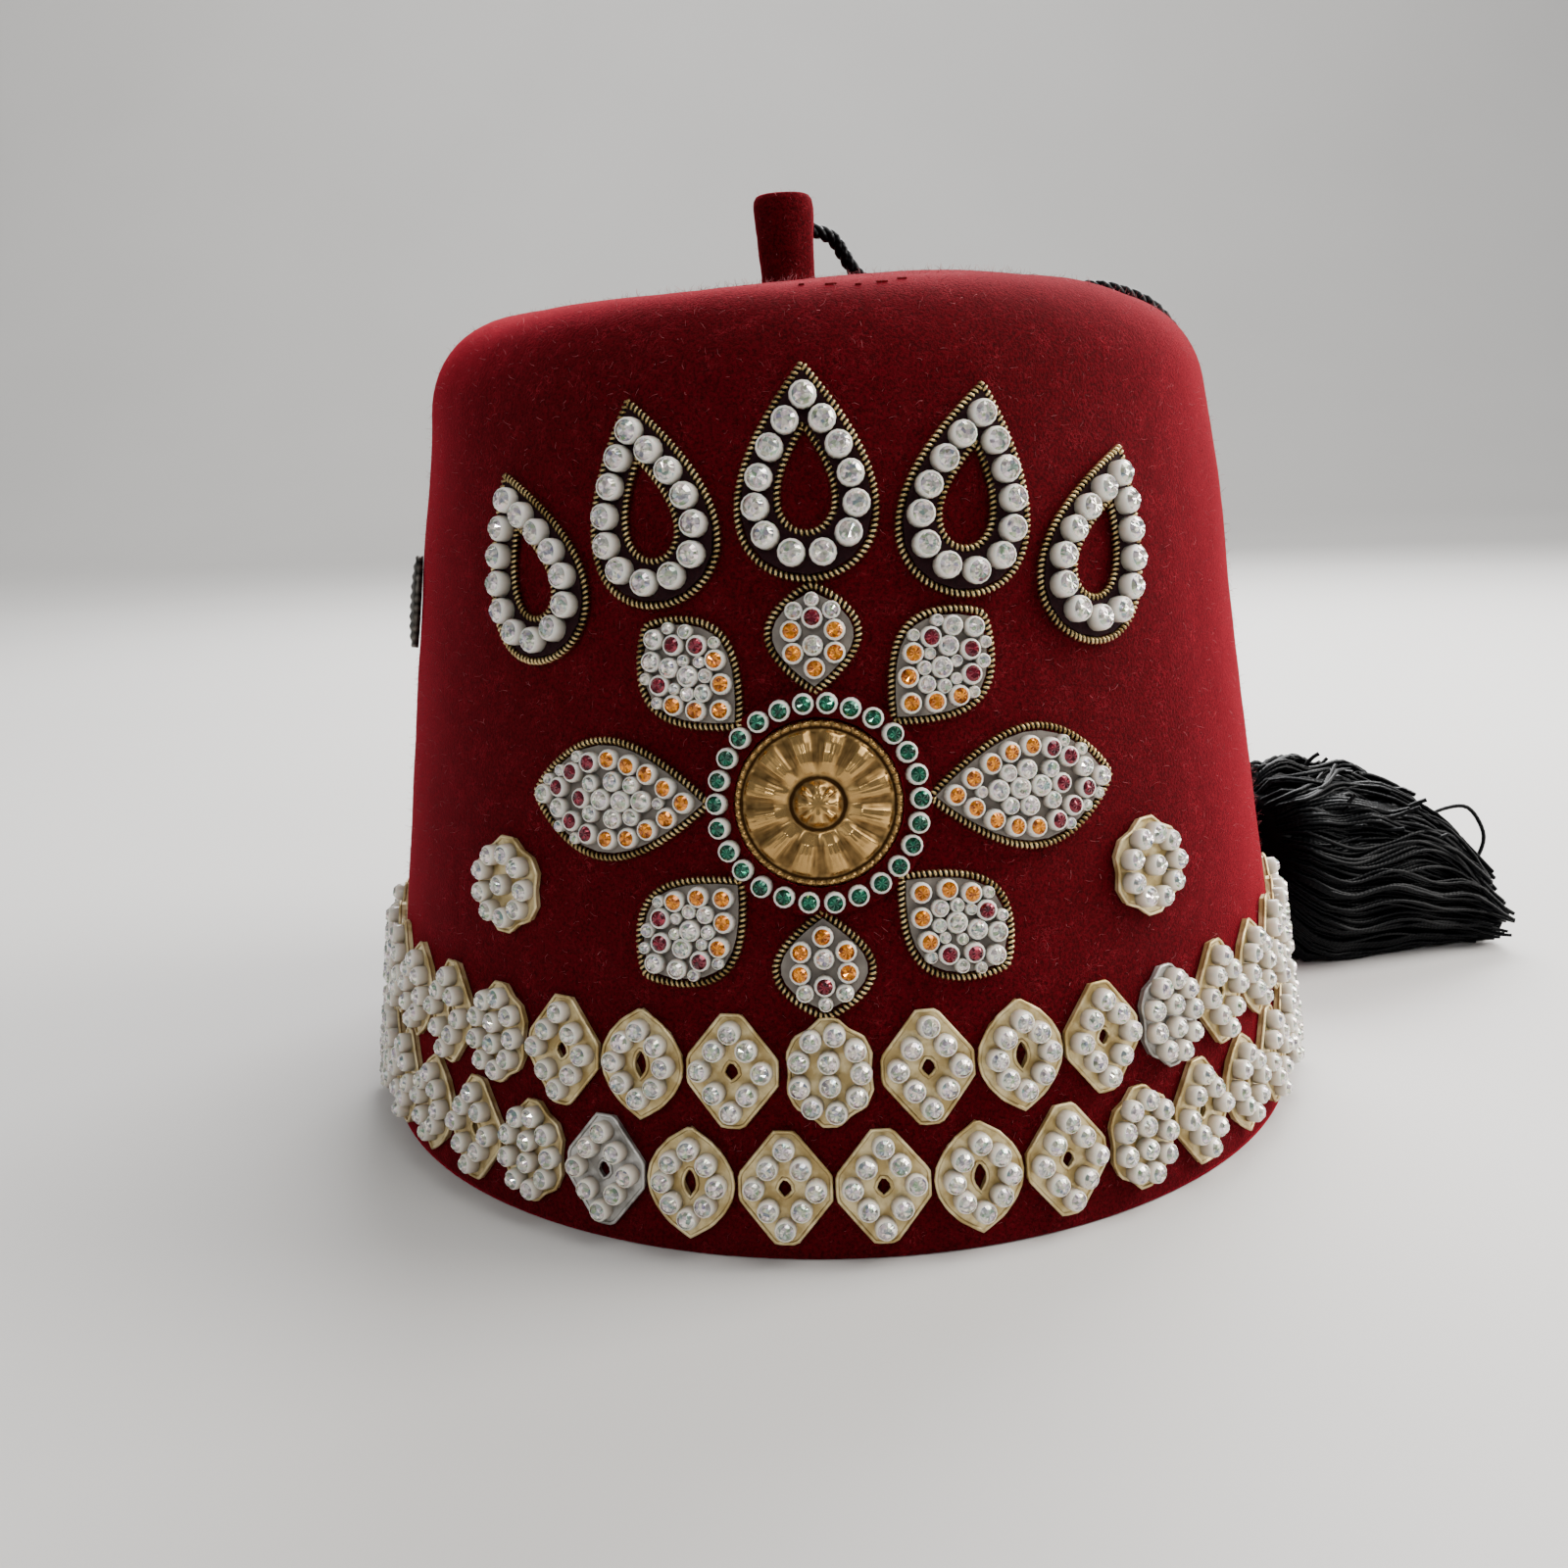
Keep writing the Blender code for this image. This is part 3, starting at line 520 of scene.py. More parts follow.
def dark_metal_finish():
    """White metal, cast and oxidised: near black in its grooves, dull grey on its ridges."""
    tree, close = new_finish("oxidised_white_metal", {"Metallic": 1.0, "Roughness": 0.45})
    return close({"Base Color": mixed(tree, attribute(tree, "recess"), "#6b6660", "#15130f")})


def silk_finish():
    """Rayon floss, dyed black and twisted: a painted dark blue-grey sheen runs slantwise round each strand.
    """
    tree, close = new_finish("twisted_black_rayon", {"Roughness": 0.40, "Specular IOR Level": 0.10})
    # The strand attribute holds the cosine and sine of the angle round the strand, and millimetres along it
    strand = attribute(tree, "strand", "Vector")
    cosine, sine, along = add(tree, "ShaderNodeSeparateXYZ", None, {0: strand}).outputs
    # Two plies, one turn in 2.2 mm
    turn = maths(tree, "MULTIPLY", maths(tree, "ARCTAN2", sine, cosine), 2.0)
    ply = ranged(tree, maths(tree, "SINE", maths(tree, "MULTIPLY_ADD", along, 5.7, turn)), -1.0, 1.0)
    # Painted sheen: the plies are tinted from black to a dark blue-grey
    tint = mixed(tree, ply, "#000001", "#030508")
    return close({"Base Color": tint, "Normal": bumped(tree, ply, 0.5, 0.0001)})


def backing_finish():
    """Acrylic, cast in one sheet under the cups: greyish white, coloured dark grey where it shows between the
    stones, as dirt and as painted shade.
    """
    tree, close = new_finish("cast_acrylic_backing", {"Roughness": 0.5})
    # Dirt and painted shade: blotches of 2 mm from dark to mid grey, darker than the sheet, for the shade in
    # the gaps between the cups
    dirt_and_shade = noise_at(tree, object_place(tree), 450, 4)
    return close({"Base Color": mixed(tree, dirt_and_shade, "#3a2f2c", "#8f877c")})


def felt_and_painted_shade_finish(name, deep, pale):
    """Wool felt, pressed flat and dull, in dark colours that are partly painted shade: the ground under the
    loops' stones, near black for the shade between stones and purl, and the needle marks, dark red for the
    shade in the dents.
    """
    tree, close = new_finish(name, {"Roughness": 0.95, "Specular IOR Level": 0.2})
    # Matted wool of 0.6 mm
    tuft = noise_at(tree, object_place(tree), 1600, 3)
    return close({"Base Color": mixed(tree, tuft, deep, pale), "Normal": bumped(tree, tuft, 0.6, 0.0003)})


def floor_finish():
    """Painted board, matt and pale."""
    tree, close = new_finish("pale_matt_board", {"Roughness": 0.6})
    tone = noise_at(tree, object_place(tree), 3, 2)
    return close({"Base Color": mixed(tree, tone, "#c9c7c4", "#d2d0cd")})


# Trees that repeat a shape or follow a path


def new_tree(name, sockets):
    """A tree with named inputs. Returns it, its group input and a function that closes it."""
    tree = bpy.data.node_groups.new(name, "GeometryNodeTree")
    for label, kind in {"Geometry": "Geometry", **sockets, "Material": "Material"}.items():
        tree.interface.new_socket(label, in_out="INPUT", socket_type="NodeSocket" + kind)
    tree.interface.new_socket("Geometry", in_out="OUTPUT", socket_type="NodeSocketGeometry")
    given = add(tree, "NodeGroupInput").outputs

    def close(geometry):
        real = result(tree, "GeometryNodeRealizeInstances", None, {0: geometry})
        sockets = {"Geometry": real, "Material": given["Material"]}
        add(tree, "NodeGroupOutput", None, {0: result(tree, "GeometryNodeSetMaterial", None, sockets)})
        return tree

    return tree, given, close


def named(tree, name, kind="FLOAT"):
    """The value or vector that points carry under that name."""
    return result(tree, "GeometryNodeInputNamedAttribute", {"data_type": kind}, {"Name": name})


def stored(tree, geometry, name, value, kind="FLOAT"):
    """The geometry, with a value or vector stored on its points."""
    settings = {"data_type": kind, "domain": "POINT"}
    sockets = {"Geometry": geometry, "Name": name, "Value": value}
    return result(tree, "GeometryNodeStoreNamedAttribute", settings, sockets)


def set_shape(tree, points, shape, first, then, scale):
    """A shape on each point, turned one way and then, in its own frame, another."""
    shape = result(tree, "GeometryNodeObjectInfo", None, {"Object": shape, "As Instance": True}, "Geometry")
    turned = result(tree, "FunctionNodeRotateRotation", {"rotation_space": "LOCAL"}, {0: first, 1: then})
    sockets = {"Points": points, "Instance": shape, "Rotation": turned, "Scale": scale}
    return result(tree, "GeometryNodeInstanceOnPoints", None, sockets)


def ring_profile(tree, sides, diameter):
    """A round section for a wire or strand."""
    sockets = {"Resolution": sides, "Radius": maths(tree, "MULTIPLY", diameter, 0.5)}
    return result(tree, "GeometryNodeCurvePrimitiveCircle", None, sockets)


def settings_tree():
    """One shape set on every point, turned to the point's facing and spun about it."""
    sockets = {"Shape": "Object", "Diameter": "Float", "Height": "Float"}
    tree, given, close = new_tree("set_on_points", sockets)
    facing = named(tree, "facing", "FLOAT_VECTOR")
    upright = result(tree, "FunctionNodeAlignRotationToVector", {"axis": "Z"}, {"Vector": facing})
    sockets = {"Axis": (0, 0, 1), "Angle": named(tree, "spin")}
    about = result(tree, "FunctionNodeAxisAngleToRotation", None, sockets)
    sockets = {0: given["Diameter"], 1: given["Diameter"], 2: given["Height"]}
    scale = result(tree, "ShaderNodeCombineXYZ", None, sockets)
    return close(set_shape(tree, given["Geometry"], given["Shape"], upright, about, scale))


def coil_tree():
    """A wire coiled along each path of the mesh."""
    tree, given, close = new_tree(
        "coil_on_paths", {"Coil Diameter": "Float", "Wire Diameter": "Float", "Turn": "Float"}
    )
    # Eight points to a turn
    step = maths(tree, "DIVIDE", given["Turn"], 8.0)
    path = result(tree, "GeometryNodeMeshToCurve", None, {0: given["Geometry"]})
    path = result(tree, "GeometryNodeResampleCurve", {"mode": "LENGTH"}, {"Curve": path, "Length": step})
    facing = named(tree, "facing", "FLOAT_VECTOR")
    tangent = result(tree, "GeometryNodeInputTangent")
    side = result(tree, "ShaderNodeVectorMath", {"operation": "CROSS_PRODUCT"}, {0: tangent, 1: facing})
    length = result(tree, "GeometryNodeSplineParameter", socket="Length")
    phase = maths(tree, "MULTIPLY", maths(tree, "DIVIDE", length, given["Turn"]), 2 * math.pi)
    spread = maths(tree, "SUBTRACT", given["Coil Diameter"], given["Wire Diameter"])
    parts = []
    for operation, way in (("COSINE", facing), ("SINE", side)):
        swing = maths(tree, "MULTIPLY", maths(tree, operation, phase), spread)
        sockets = {0: way, "Scale": maths(tree, "MULTIPLY", swing, 0.5)}
        parts.append(result(tree, "ShaderNodeVectorMath", {"operation": "SCALE"}, sockets))
    offset = result(tree, "ShaderNodeVectorMath", {"operation": "ADD"}, {0: parts[0], 1: parts[1]})
    wound = result(tree, "GeometryNodeSetPosition", None, {"Geometry": path, "Offset": offset})
    section = ring_profile(tree, 4, given["Wire Diameter"])
    return close(result(tree, "GeometryNodeCurveToMesh", None, {"Curve": wound, "Profile Curve": section}))


def strand_tree():
    """A round strand along each path of the mesh. It keeps its angle round and millimetres along."""
    tree, given, close = new_tree("strands_on_paths", {"Strand Diameter": "Float", "Sides": "Int"})
    path = result(tree, "GeometryNodeMeshToCurve", None, {0: given["Geometry"]})
    length = result(tree, "GeometryNodeSplineParameter", socket="Length")
    path = stored(tree, path, "along", maths(tree, "MULTIPLY", length, 1000.0))
    ring = ring_profile(tree, given["Sides"], given["Strand Diameter"])
    turn = result(tree, "GeometryNodeSplineParameter", socket="Factor")
    turn = maths(tree, "MULTIPLY", turn, 2 * math.pi)
    for name, operation in (("round_cos", "COSINE"), ("round_sin", "SINE")):
        ring = stored(tree, ring, name, maths(tree, operation, turn))
    sockets = {"Curve": path, "Profile Curve": ring, "Fill Caps": True}
    strand = result(tree, "GeometryNodeCurveToMesh", None, sockets)
    kept = [named(tree, name) for name in ("round_cos", "round_sin", "along")]
    place = result(tree, "ShaderNodeCombineXYZ", None, dict(enumerate(kept)))
    strand = stored(tree, strand, "strand", place, "FLOAT_VECTOR")
    return close(result(tree, "GeometryNodeSetShadeSmooth", None, {0: strand}))


def nap_tree():
    """Fibres scattered over a felt surface, each leaning its own way."""
    tree, given, close = new_tree(
        "fibres_on_felt",
        {"Fibre": "Object", "Fibres per Square Metre": "Float", "Length": "Float", "Seed": "Int"},
    )
    seed = given["Seed"]
    spread = add(
        tree,
        "GeometryNodeDistributePointsOnFaces",
        {"distribute_method": "RANDOM"},
        {"Mesh": given["Geometry"], "Density": given["Fibres per Square Metre"], "Seed": seed},
    ).outputs
    # Leans of up to 66 degrees, and any turn
    sockets = {0: (-1.15, -1.15, 0.0), 1: (1.15, 1.15, 6.28), "Seed": seed}
    lean = result(tree, "FunctionNodeRandomValue", {"data_type": "FLOAT_VECTOR"}, sockets)
    lean = result(tree, "FunctionNodeEulerToRotation", None, {0: lean})
    sockets = {2: 0.45, 3: 1.0, "Seed": seed}
    grown = result(tree, "FunctionNodeRandomValue", {"data_type": "FLOAT"}, sockets, 1)
    size = maths(tree, "MULTIPLY", grown, given["Length"])
    return close(set_shape(tree, spread["Points"], given["Fibre"], spread["Rotation"], lean, size))


def grow(name, carrier, tree, sizes):
    """What a tree makes of a mesh, as a plain mesh."""
    bed = link(name + "_bed", carrier)
    modifier = bed.modifiers.new("tree", "NODES")
    modifier.node_group = tree
    for item in tree.interface.items_tree:
        if item.in_out == "INPUT" and item.name in sizes:
            modifier[item.identifier] = sizes[item.name]
    graph = bpy.context.evaluated_depsgraph_get()
    mesh = bpy.data.meshes.new_from_object(bed.evaluated_get(graph), depsgraph=graph)
    bed.modifiers.remove(modifier)
    bpy.data.objects.remove(bed)
    return link(name, mesh)


def grow_strands(name, paths, closed, diameter, sides, finish):
    """Round strands along paths."""
    sizes = {"Strand Diameter": diameter, "Sides": sides, "Material": finish}
    return grow(name, path_bed(name + "_paths", paths, closed), trees["strand"], sizes)


# Meshes


def solid(name, points, faces, finish, smooth=True):
    """An object with one finish."""
    mesh = bpy.data.meshes.new(name)
    mesh.from_pydata(np.asarray(points, float).tolist(), [], faces)
    mesh.validate()
    mesh.materials.append(finish)
    if smooth:
        mesh.shade_smooth()
    return link(name, mesh)


def bridge(lower, upper):
    """Quads between two closed rows of vertex numbers, outwards when the rows run anticlockwise."""
    count = len(lower)
    return [(lower[i], lower[(i + 1) % count], upper[(i + 1) % count], upper[i]) for i in range(count)]


def skin(rings, close_first=True, close_last=True):
    """Points and faces of a surface through closed rings of points."""
    rows, points = [], []
    for ring in rings:
        rows.append(list(range(len(points), len(points) + len(ring))))
        points.extend(ring)
    faces = []
    for lower, upper in zip(rows, rows[1:]):
        faces += bridge(lower, upper)
    if close_first:
        faces.append(tuple(reversed(rows[0])))
    if close_last:
        faces.append(tuple(rows[-1]))
    return points, faces


def mark(mesh, name, values, kind="FLOAT"):
    """Stores a value or a vector for each of a mesh's points."""
    field = "vector" if kind == "FLOAT_VECTOR" else "value"
    mesh.attributes.new(name, kind, "POINT").data.foreach_set(field, np.ravel(values))


def point_bed(name, points, facing, spin):
    """A mesh of loose points for settings."""
    mesh = bpy.data.meshes.new(name)
    mesh.from_pydata(np.asarray(points).tolist(), [], [])
    mark(mesh, "facing", facing, "FLOAT_VECTOR")
    mark(mesh, "spin", spin)
    return mesh


def path_bed(name, paths, closed):
    """A mesh of paths. Each is its points and the way that the surface faces at them."""
    points, facing, edges = [], [], []
    for line, normals in paths:
        start = len(points)
        points.extend(np.asarray(line).tolist())
        facing.extend(np.asarray(normals).tolist())
        edges += [(start + k, start + k + 1) for k in range(len(line) - 1)]
        if closed:
            edges.append((start + len(line) - 1, start))
    mesh = bpy.data.meshes.new(name)
    mesh.from_pydata(points, edges, [])
    mark(mesh, "facing", facing, "FLOAT_VECTOR")
    return mesh


def felt_relief(points):
    """The small hills of hand-blocked felt, as distances outwards."""
    # Hills of 26 mm
    hills = [noise.fractal(Vector(p) * 38.0, 0.8, 2.0, 3) for p in points]
    return (np.array(hills) * FELT_RELIEF)[:, None]


def make_crown(finish):
    """The felt body: a fine outer skin, a rounded rim and the inside."""
    columns = 240
    angles = full_turn(columns)
    outer = np.concatenate(
        [
            np.linspace(0.0010, WALL_END, 62),
            np.linspace(WALL_END, SHOULDER_END, 16)[1:],
            np.linspace(SHOULDER_END, MIDDLE - 0.0012, 26)[1:],
        ]
    )
    rings = [crown_point(angles, path, -FELT_THICKNESS) for path in outer[::-2]]
    corner = FELT_THICKNESS * 0.32
    for height, depth in (
        # height above the rim, distance in from the felt's outside
        (0.30 * corner, FELT_THICKNESS - 0.10 * corner),
        (0.0, FELT_THICKNESS - corner),
        (0.0, corner),
        (0.30 * corner, 0.10 * corner),
    ):
        ring = crown_point(angles, 0.0, -depth)
        ring[:, 2] = height
        rings.append(ring)
    for path in outer:
        ring = crown_point(angles, path, 0.0)
        # The relief fades out over the lowest 10 mm
        share = min(1.0, path / 0.010)
        rings.append(ring + crown_normal(angles, path) * (felt_relief(ring) * share))
    points, faces = skin(rings, close_first=False, close_last=False)
    for row, depth in ((0, -FELT_THICKNESS), (len(rings) - 1, 0.0)):
        pole = len(points)
        points.append(crown_point(0.0, MIDDLE, depth))
        first = row * columns
        for k in range(columns):
            a, b = first + k, first + (k + 1) % columns
            faces.append((pole, b, a) if row == 0 else (a, b, pole))
    made = solid("felt_body", points, faces, finish)
    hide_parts("felt_crown")
    return made


def make_needle_marks(finish):
    """Short dents near the front of the top, where a needle went through the felt: thin strands whose dark
    red is painted shade.
    """
    paths = []
    for angle, share, length in NEEDLE_MARKS:
        patch = Patch(arc_at_angle(math.radians(angle), share * MIDDLE), share * MIDDLE)
        flat = [(across * length, 0.0) for across in (-0.5, -0.2, 0.2, 0.5)]
        paths.append((patch.lay(flat, -0.1 * NEEDLE_WIDTH), patch.facing(flat)))
    return grow_strands("needle_marks", paths, False, NEEDLE_WIDTH, 8, finish)


def stem_seat():
    """Height of the felt under the stem."""
    angle = math.atan2(STEM_X, 0.0)
    path = MIDDLE - abs(STEM_X) / TOP_WIDTH * TOP_LENGTH
    around = np.radians(np.arange(0, 360, 30))
    heights = crown_point(angle, path)[2] + TOP_TILT * STEM_FOOT_DIAMETER / 2 * np.cos(around)
    return float(heights.max())


def make_stem(finish):
    """The felt stalk, rolled and felted shut, with a rounded top and a slightly spread foot."""
    seat = stem_seat()
    profile = (
        # share of height, diameter
        (-0.02, STEM_FOOT_DIAMETER * 1.10),
        (0.03, STEM_FOOT_DIAMETER * 1.04),
        (0.12, STEM_FOOT_DIAMETER),
        (0.50, (STEM_FOOT_DIAMETER + STEM_DIAMETER) / 2),
        (0.84, STEM_DIAMETER * 1.01),
        (0.93, STEM_DIAMETER * 0.97),
        (0.975, STEM_DIAMETER * 0.88),
        (0.995, STEM_DIAMETER * 0.72),
        (1.00, STEM_DIAMETER * 0.45),
    )
    shares = np.concatenate([np.linspace(-0.02, 0.84, 22)[:-1], np.linspace(0.84, 1.0, 12)])
    widths = np.interp(shares, *np.array(profile).T)
    outwards = level_ring(full_turn(48), 1.0, 0.0)
    rings = []
    for share, width in zip(shares, widths):
        centre = np.array([STEM_X - STEM_LEAN * share, 0.0, seat + SEAT_GAP + STEM_HEIGHT * share])
        ring = centre + outwards * width / 2
        # The stem's hills are a quarter as wide as the crown's
        rings.append(ring + outwards * felt_relief(ring * 4.0))
    made = solid("felt_stem", *skin(rings), finish)
    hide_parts("stem")
    return made


# Cord and tassel


def catmull_rom(route, step):
    """A smooth curve through the route's points, read every step of length."""
    ends = [2 * route[0] - route[1], *route, 2 * route[-1] - route[-2]]
    dense = []
    for a, b, c, d in zip(ends, ends[1:], ends[2:], ends[3:]):
        for t in np.linspace(0, 1, 24, endpoint=False):
            square = 2 * a - 5 * b + 4 * c - d
            cube = 3 * b - a - 3 * c + d
            dense.append(0.5 * (2 * b + (c - a) * t + square * t**2 + cube * t**3))
    dense = np.array([*dense, route[-1]])
    length = travelled(dense)
    places = np.linspace(0, length[-1], max(2, round(length[-1] / step) + 1))
    return np.stack([np.interp(places, length, dense[:, k]) for k in range(3)], 1)


def tassel_axes():
    """Directions along the tassel's skirt, to its side, and along its head, which slopes down."""
    yaw, pitch = math.radians(TASSEL_YAW), math.radians(TASSEL_HEAD_PITCH)
    along = np.array([math.cos(yaw), math.sin(yaw), 0.0])
    side = np.array([-math.sin(yaw), math.cos(yaw), 0.0])
    return along, side, along * math.cos(pitch) - np.array([0, 0, math.sin(pitch)])


def cord_route():
    """The cord's own points: out of the stem, over the top and the shoulder, down the wall to the tassel."""
    rest = CORD_DIAMETER / 2 + SEAT_GAP + 0.0003
    turn = math.radians(CORD_EXIT_ANGLE)
    outwards = np.array([math.sin(turn), -math.cos(turn), 0.0])
    seat = stem_seat()
    share = CORD_EXIT_HEIGHT / STEM_HEIGHT
    centre = np.array([STEM_X - STEM_LEAN * share, 0.0, seat + SEAT_GAP + CORD_EXIT_HEIGHT])
    exit_point = centre + outwards * (STEM_DIAMETER / 2 + SEAT_GAP)
    drop = exit_point[2] - (seat + rest)
    route = []
    for reach, fall in (
        # distance out from the stem, share of the drop to the felt
        (0.0000, 0.00),
        (0.0020, 0.01),
        (0.0060, 0.15),
        (0.0088, 0.50),
        (0.0117, 0.85),
        (0.0158, 1.00),
    ):
        route.append(exit_point + outwards * reach - np.array([0, 0, drop * fall]))
    for angle, path in (
        # degrees round the crown, share of the path from rim to the middle of the top
        (118, 0.855),
        (107.5, 0.822),
        (99.5, 0.780),
        (95.0, 0.736),
        (93.0, 0.700),
        (92.5, 0.660),
        (93.3, 0.610),
        (95.2, 0.550),
        (98.4, 0.470),
        (102.2, 0.390),
        (105.6, 0.320),
        (108.8, 0.262),
        (110.6, 0.222),
    ):
        route.append(crown_point(math.radians(angle), path * MIDDLE, rest))
    axis = tassel_axes()[2]
    rear = np.array(TASSEL_HEAD) - axis * (TASSEL_HEAD_LENGTH / 2 + SEAT_GAP)
    for behind, above in ((0.0055, 0.0016), (0.0022, 0.0), (0.0, 0.0)):
        route.append(rear - axis * behind + np.array([0, 0, above]))
    return route


def frames_along(points):
    """Two directions across a path at each of its points, turning as little as they can."""
    ahead = np.gradient(points, axis=0)
    ahead /= np.linalg.norm(ahead, axis=1, keepdims=True)
    first = np.cross(ahead[0], (0.0, 0.0, 1.0))
    across = []
    for way in ahead:
        first = first - way * first.dot(way)
        first /= np.linalg.norm(first)
        across.append(first)
    across = np.array(across)
    return across, np.cross(ahead, across)


def make_cord(finish, tassel_head):
    """A soft cord of three plies, one turn in 7 mm."""
    route = cord_route()
    points = catmull_rom(route, 0.0009)
    across, above = frames_along(points)
    length = travelled(points)
    ply_radius = CORD_DIAMETER * 0.26
    swing = CORD_DIAMETER / 2 - ply_radius
    paths = []
    for ply in range(CORD_PLIES):
        phase = 2 * math.pi * (length / PLY_TURN + ply / CORD_PLIES)
        line = points + swing * (across * np.cos(phase)[:, None] + above * np.sin(phase)[:, None])
        paths.append((line, above))
    made = grow_strands("twisted_cord", paths, False, 2 * ply_radius, 10, finish)
    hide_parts("tassel_cord")
    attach(made, "root")
    even = catmull_rom(route, 2.2 * CORD_DIAMETER)


SKIRT = np.array(
    (
        # along, drift, width, top, bottom
        (-0.09, 0.00, 0.42, 0.92, 0.30),
        (-0.03, -0.01, 0.72, 0.98, 0.04),
        (0.05, 0.00, 0.90, 1.00, -0.10),
        (0.16, 0.01, 0.98, 1.00, -0.16),
        (0.32, 0.02, 1.00, 0.99, -0.18),
        (0.50, 0.02, 1.02, 0.93, -0.18),
        (0.69, -0.01, 0.97, 0.81, -0.17),
        (0.80, -0.04, 0.92, 0.68, -0.16),
        (0.90, -0.08, 0.82, 0.50, -0.13),
        (1.00, -0.12, 0.66, 0.36, -0.08),
    )
)


def skirt_place(share, turn, depth):
    """Points in the skirt: share along it, angle round it, and depth from its middle to its outside."""
    along, side, axis = tassel_axes()
    start = np.array(TASSEL_HEAD) + axis * (TASSEL_HEAD_LENGTH / 2)
    drift, width, top, bottom = (np.interp(share, SKIRT[:, 0], SKIRT[:, k]) for k in (1, 2, 3, 4))
    across = drift * TASSEL_SPREAD + width / 2 * TASSEL_SPREAD * depth * np.cos(turn)
    height = ((top + bottom) / 2 + (top - bottom) / 2 * depth * np.sin(turn)) * TASSEL_HEIGHT
    place = start + along * (share * TASSEL_LENGTH)[..., None] + side * across[..., None]
    place[..., 2] = height
    return place


# The strand that stands out of the skirt's end in a loop
STRAY_LOOP = (
    # x, y, z
    (0.1380, 0.0500, 0.0200),
    (0.1470, 0.0530, 0.0268),
    (0.1534, 0.0548, 0.0290),
    (0.1587, 0.0548, 0.0286),
    (0.1620, 0.0535, 0.0223),
    (0.1601, 0.0523, 0.0165),
    (0.1560, 0.0510, 0.0120),
)


def facing_up(line):
    """A path with the way that it faces."""
    return line, np.tile((0.0, 0.0, 1.0), (len(line), 1))


def strand_paths(rng):
    """Paths of floss from the neck to loose ends. They wave on top, lock by lock, and run flat below."""
    along, side, _ = tassel_axes()
    locks = rng.random((TASSEL_LOCKS, 5))
    paths = []
    for k in range(TASSEL_STRANDS):
        turn, depth = rng.uniform(0, 2 * math.pi), rng.uniform(0.82, 1.0)
        lock = locks[int(turn / (2 * math.pi) * TASSEL_LOCKS)]
        swing, slow, start, quick, beat = lock + rng.normal(0, 0.05, 5)
        if k % 2:
            # The calm layer under the locks
            depth, swing, slow, quick = 0.80 + 0.5 * (depth - 0.82), 0.15, rng.random(), rng.random()
        loose = max(0.0, math.sin(turn))
        stray = loose > 0.5 and k % 5 == 0
        last = rng.uniform(0.15, 0.75) if stray else 0.95 - 0.14 * rng.random() ** 2
        share = np.linspace(-0.08, last, 22)
        opening = np.clip((share + 0.08) / 0.10, 0, 1)
        reach = 0.55 + 0.45 * np.sin(opening * math.pi / 2)
        sway = (0.04 + 0.24 * loose * swing) * np.sin(2 * math.pi * ((0.7 + 1.7 * slow) * share + start))
        ripple = (0.012 + 0.045 * loose) * np.sin(2 * math.pi * ((1.5 + 2.5 * quick) * share + beat))
        place = skirt_place(share, turn + sway * opening, (depth + ripple * opening) * reach)
        tail = np.clip((share - last) / 0.20 + 1, 0, 1) ** 2
        lift = rng.uniform(0.001, 0.005) if stray else -rng.uniform(0.0, 0.005) * loose
        place += side * (tail * rng.uniform(-0.005, 0.005))[:, None]
        place -= along * (tail * rng.uniform(0.0, 0.005 if stray else 0.002))[:, None]
        place[:, 2] += tail * lift
        place[:, 2] = np.maximum(place[:, 2], STRAND_DIAMETER / 2 + rng.uniform(0.0, 0.0012) * opening)
        paths.append(facing_up(place))
    # Short strands inside the skirt's end, so that it isn't hollow
    for _ in range(FILLING_STRANDS):
        turn, depth = rng.uniform(0, 2 * math.pi), 0.82 * math.sqrt(rng.random())
        share = np.linspace(0.72, rng.uniform(0.88, 0.95), 5)
        place = skirt_place(share, np.full(5, turn), np.full(5, depth))
        place += np.linspace(0, 1, 5)[:, None] ** 2 * rng.normal(0, 0.0012, 3)
        place[:, 2] = np.maximum(place[:, 2], STRAND_DIAMETER / 2)
        paths.append(facing_up(place))
    paths.append(facing_up(catmull_rom([np.array(p) for p in STRAY_LOOP], 0.0012)))
    return paths


def make_tassel(finish):
    """A wrapped head, a dark core and layers of strands over it."""
    rng = np.random.default_rng(11)
    _, side, axis = tassel_axes()
    above = np.cross(axis, side)
    turns = full_turn(48)
    rings = []
    for share, width in (
        # share of the head's length, share of its diameter
        (-0.50, 0.42),
        (-0.46, 0.62),
        (-0.38, 0.80),
        (-0.25, 0.94),
        (-0.12, 1.0),
        (0.02, 0.99),
        (0.16, 0.92),
        (0.30, 0.76),
        (0.38, 0.66),
        (0.55, 0.70),
    ):
        centre = np.array(TASSEL_HEAD) + axis * (share * TASSEL_HEAD_LENGTH)
        # 24 threads wind over the head
        radius = TASSEL_HEAD_DIAMETER / 2 * width * (1 + 0.035 * np.cos(24 * turns))
        around = side * np.cos(turns)[:, None] + above * np.sin(turns)[:, None]
        rings.append(centre + radius[:, None] * around)
    head = solid("tassel_head", *skin(rings), finish)
    rings = [skirt_place(np.full(64, s), full_turn(64), 0.84) for s in np.linspace(-0.06, 0.84, 24)]
    for ring in rings:
        ring[:, 2] = np.maximum(ring[:, 2], 0.0002)
    core = solid("tassel_core", *skin(rings), finish)
    skirt = grow_strands("tassel_strands", strand_paths(rng), False, STRAND_DIAMETER, 4, finish)
    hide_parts("tassel")
    for piece in (head, core, skirt):
        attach(piece, "root")
    return head


# Flat outlines of the motifs


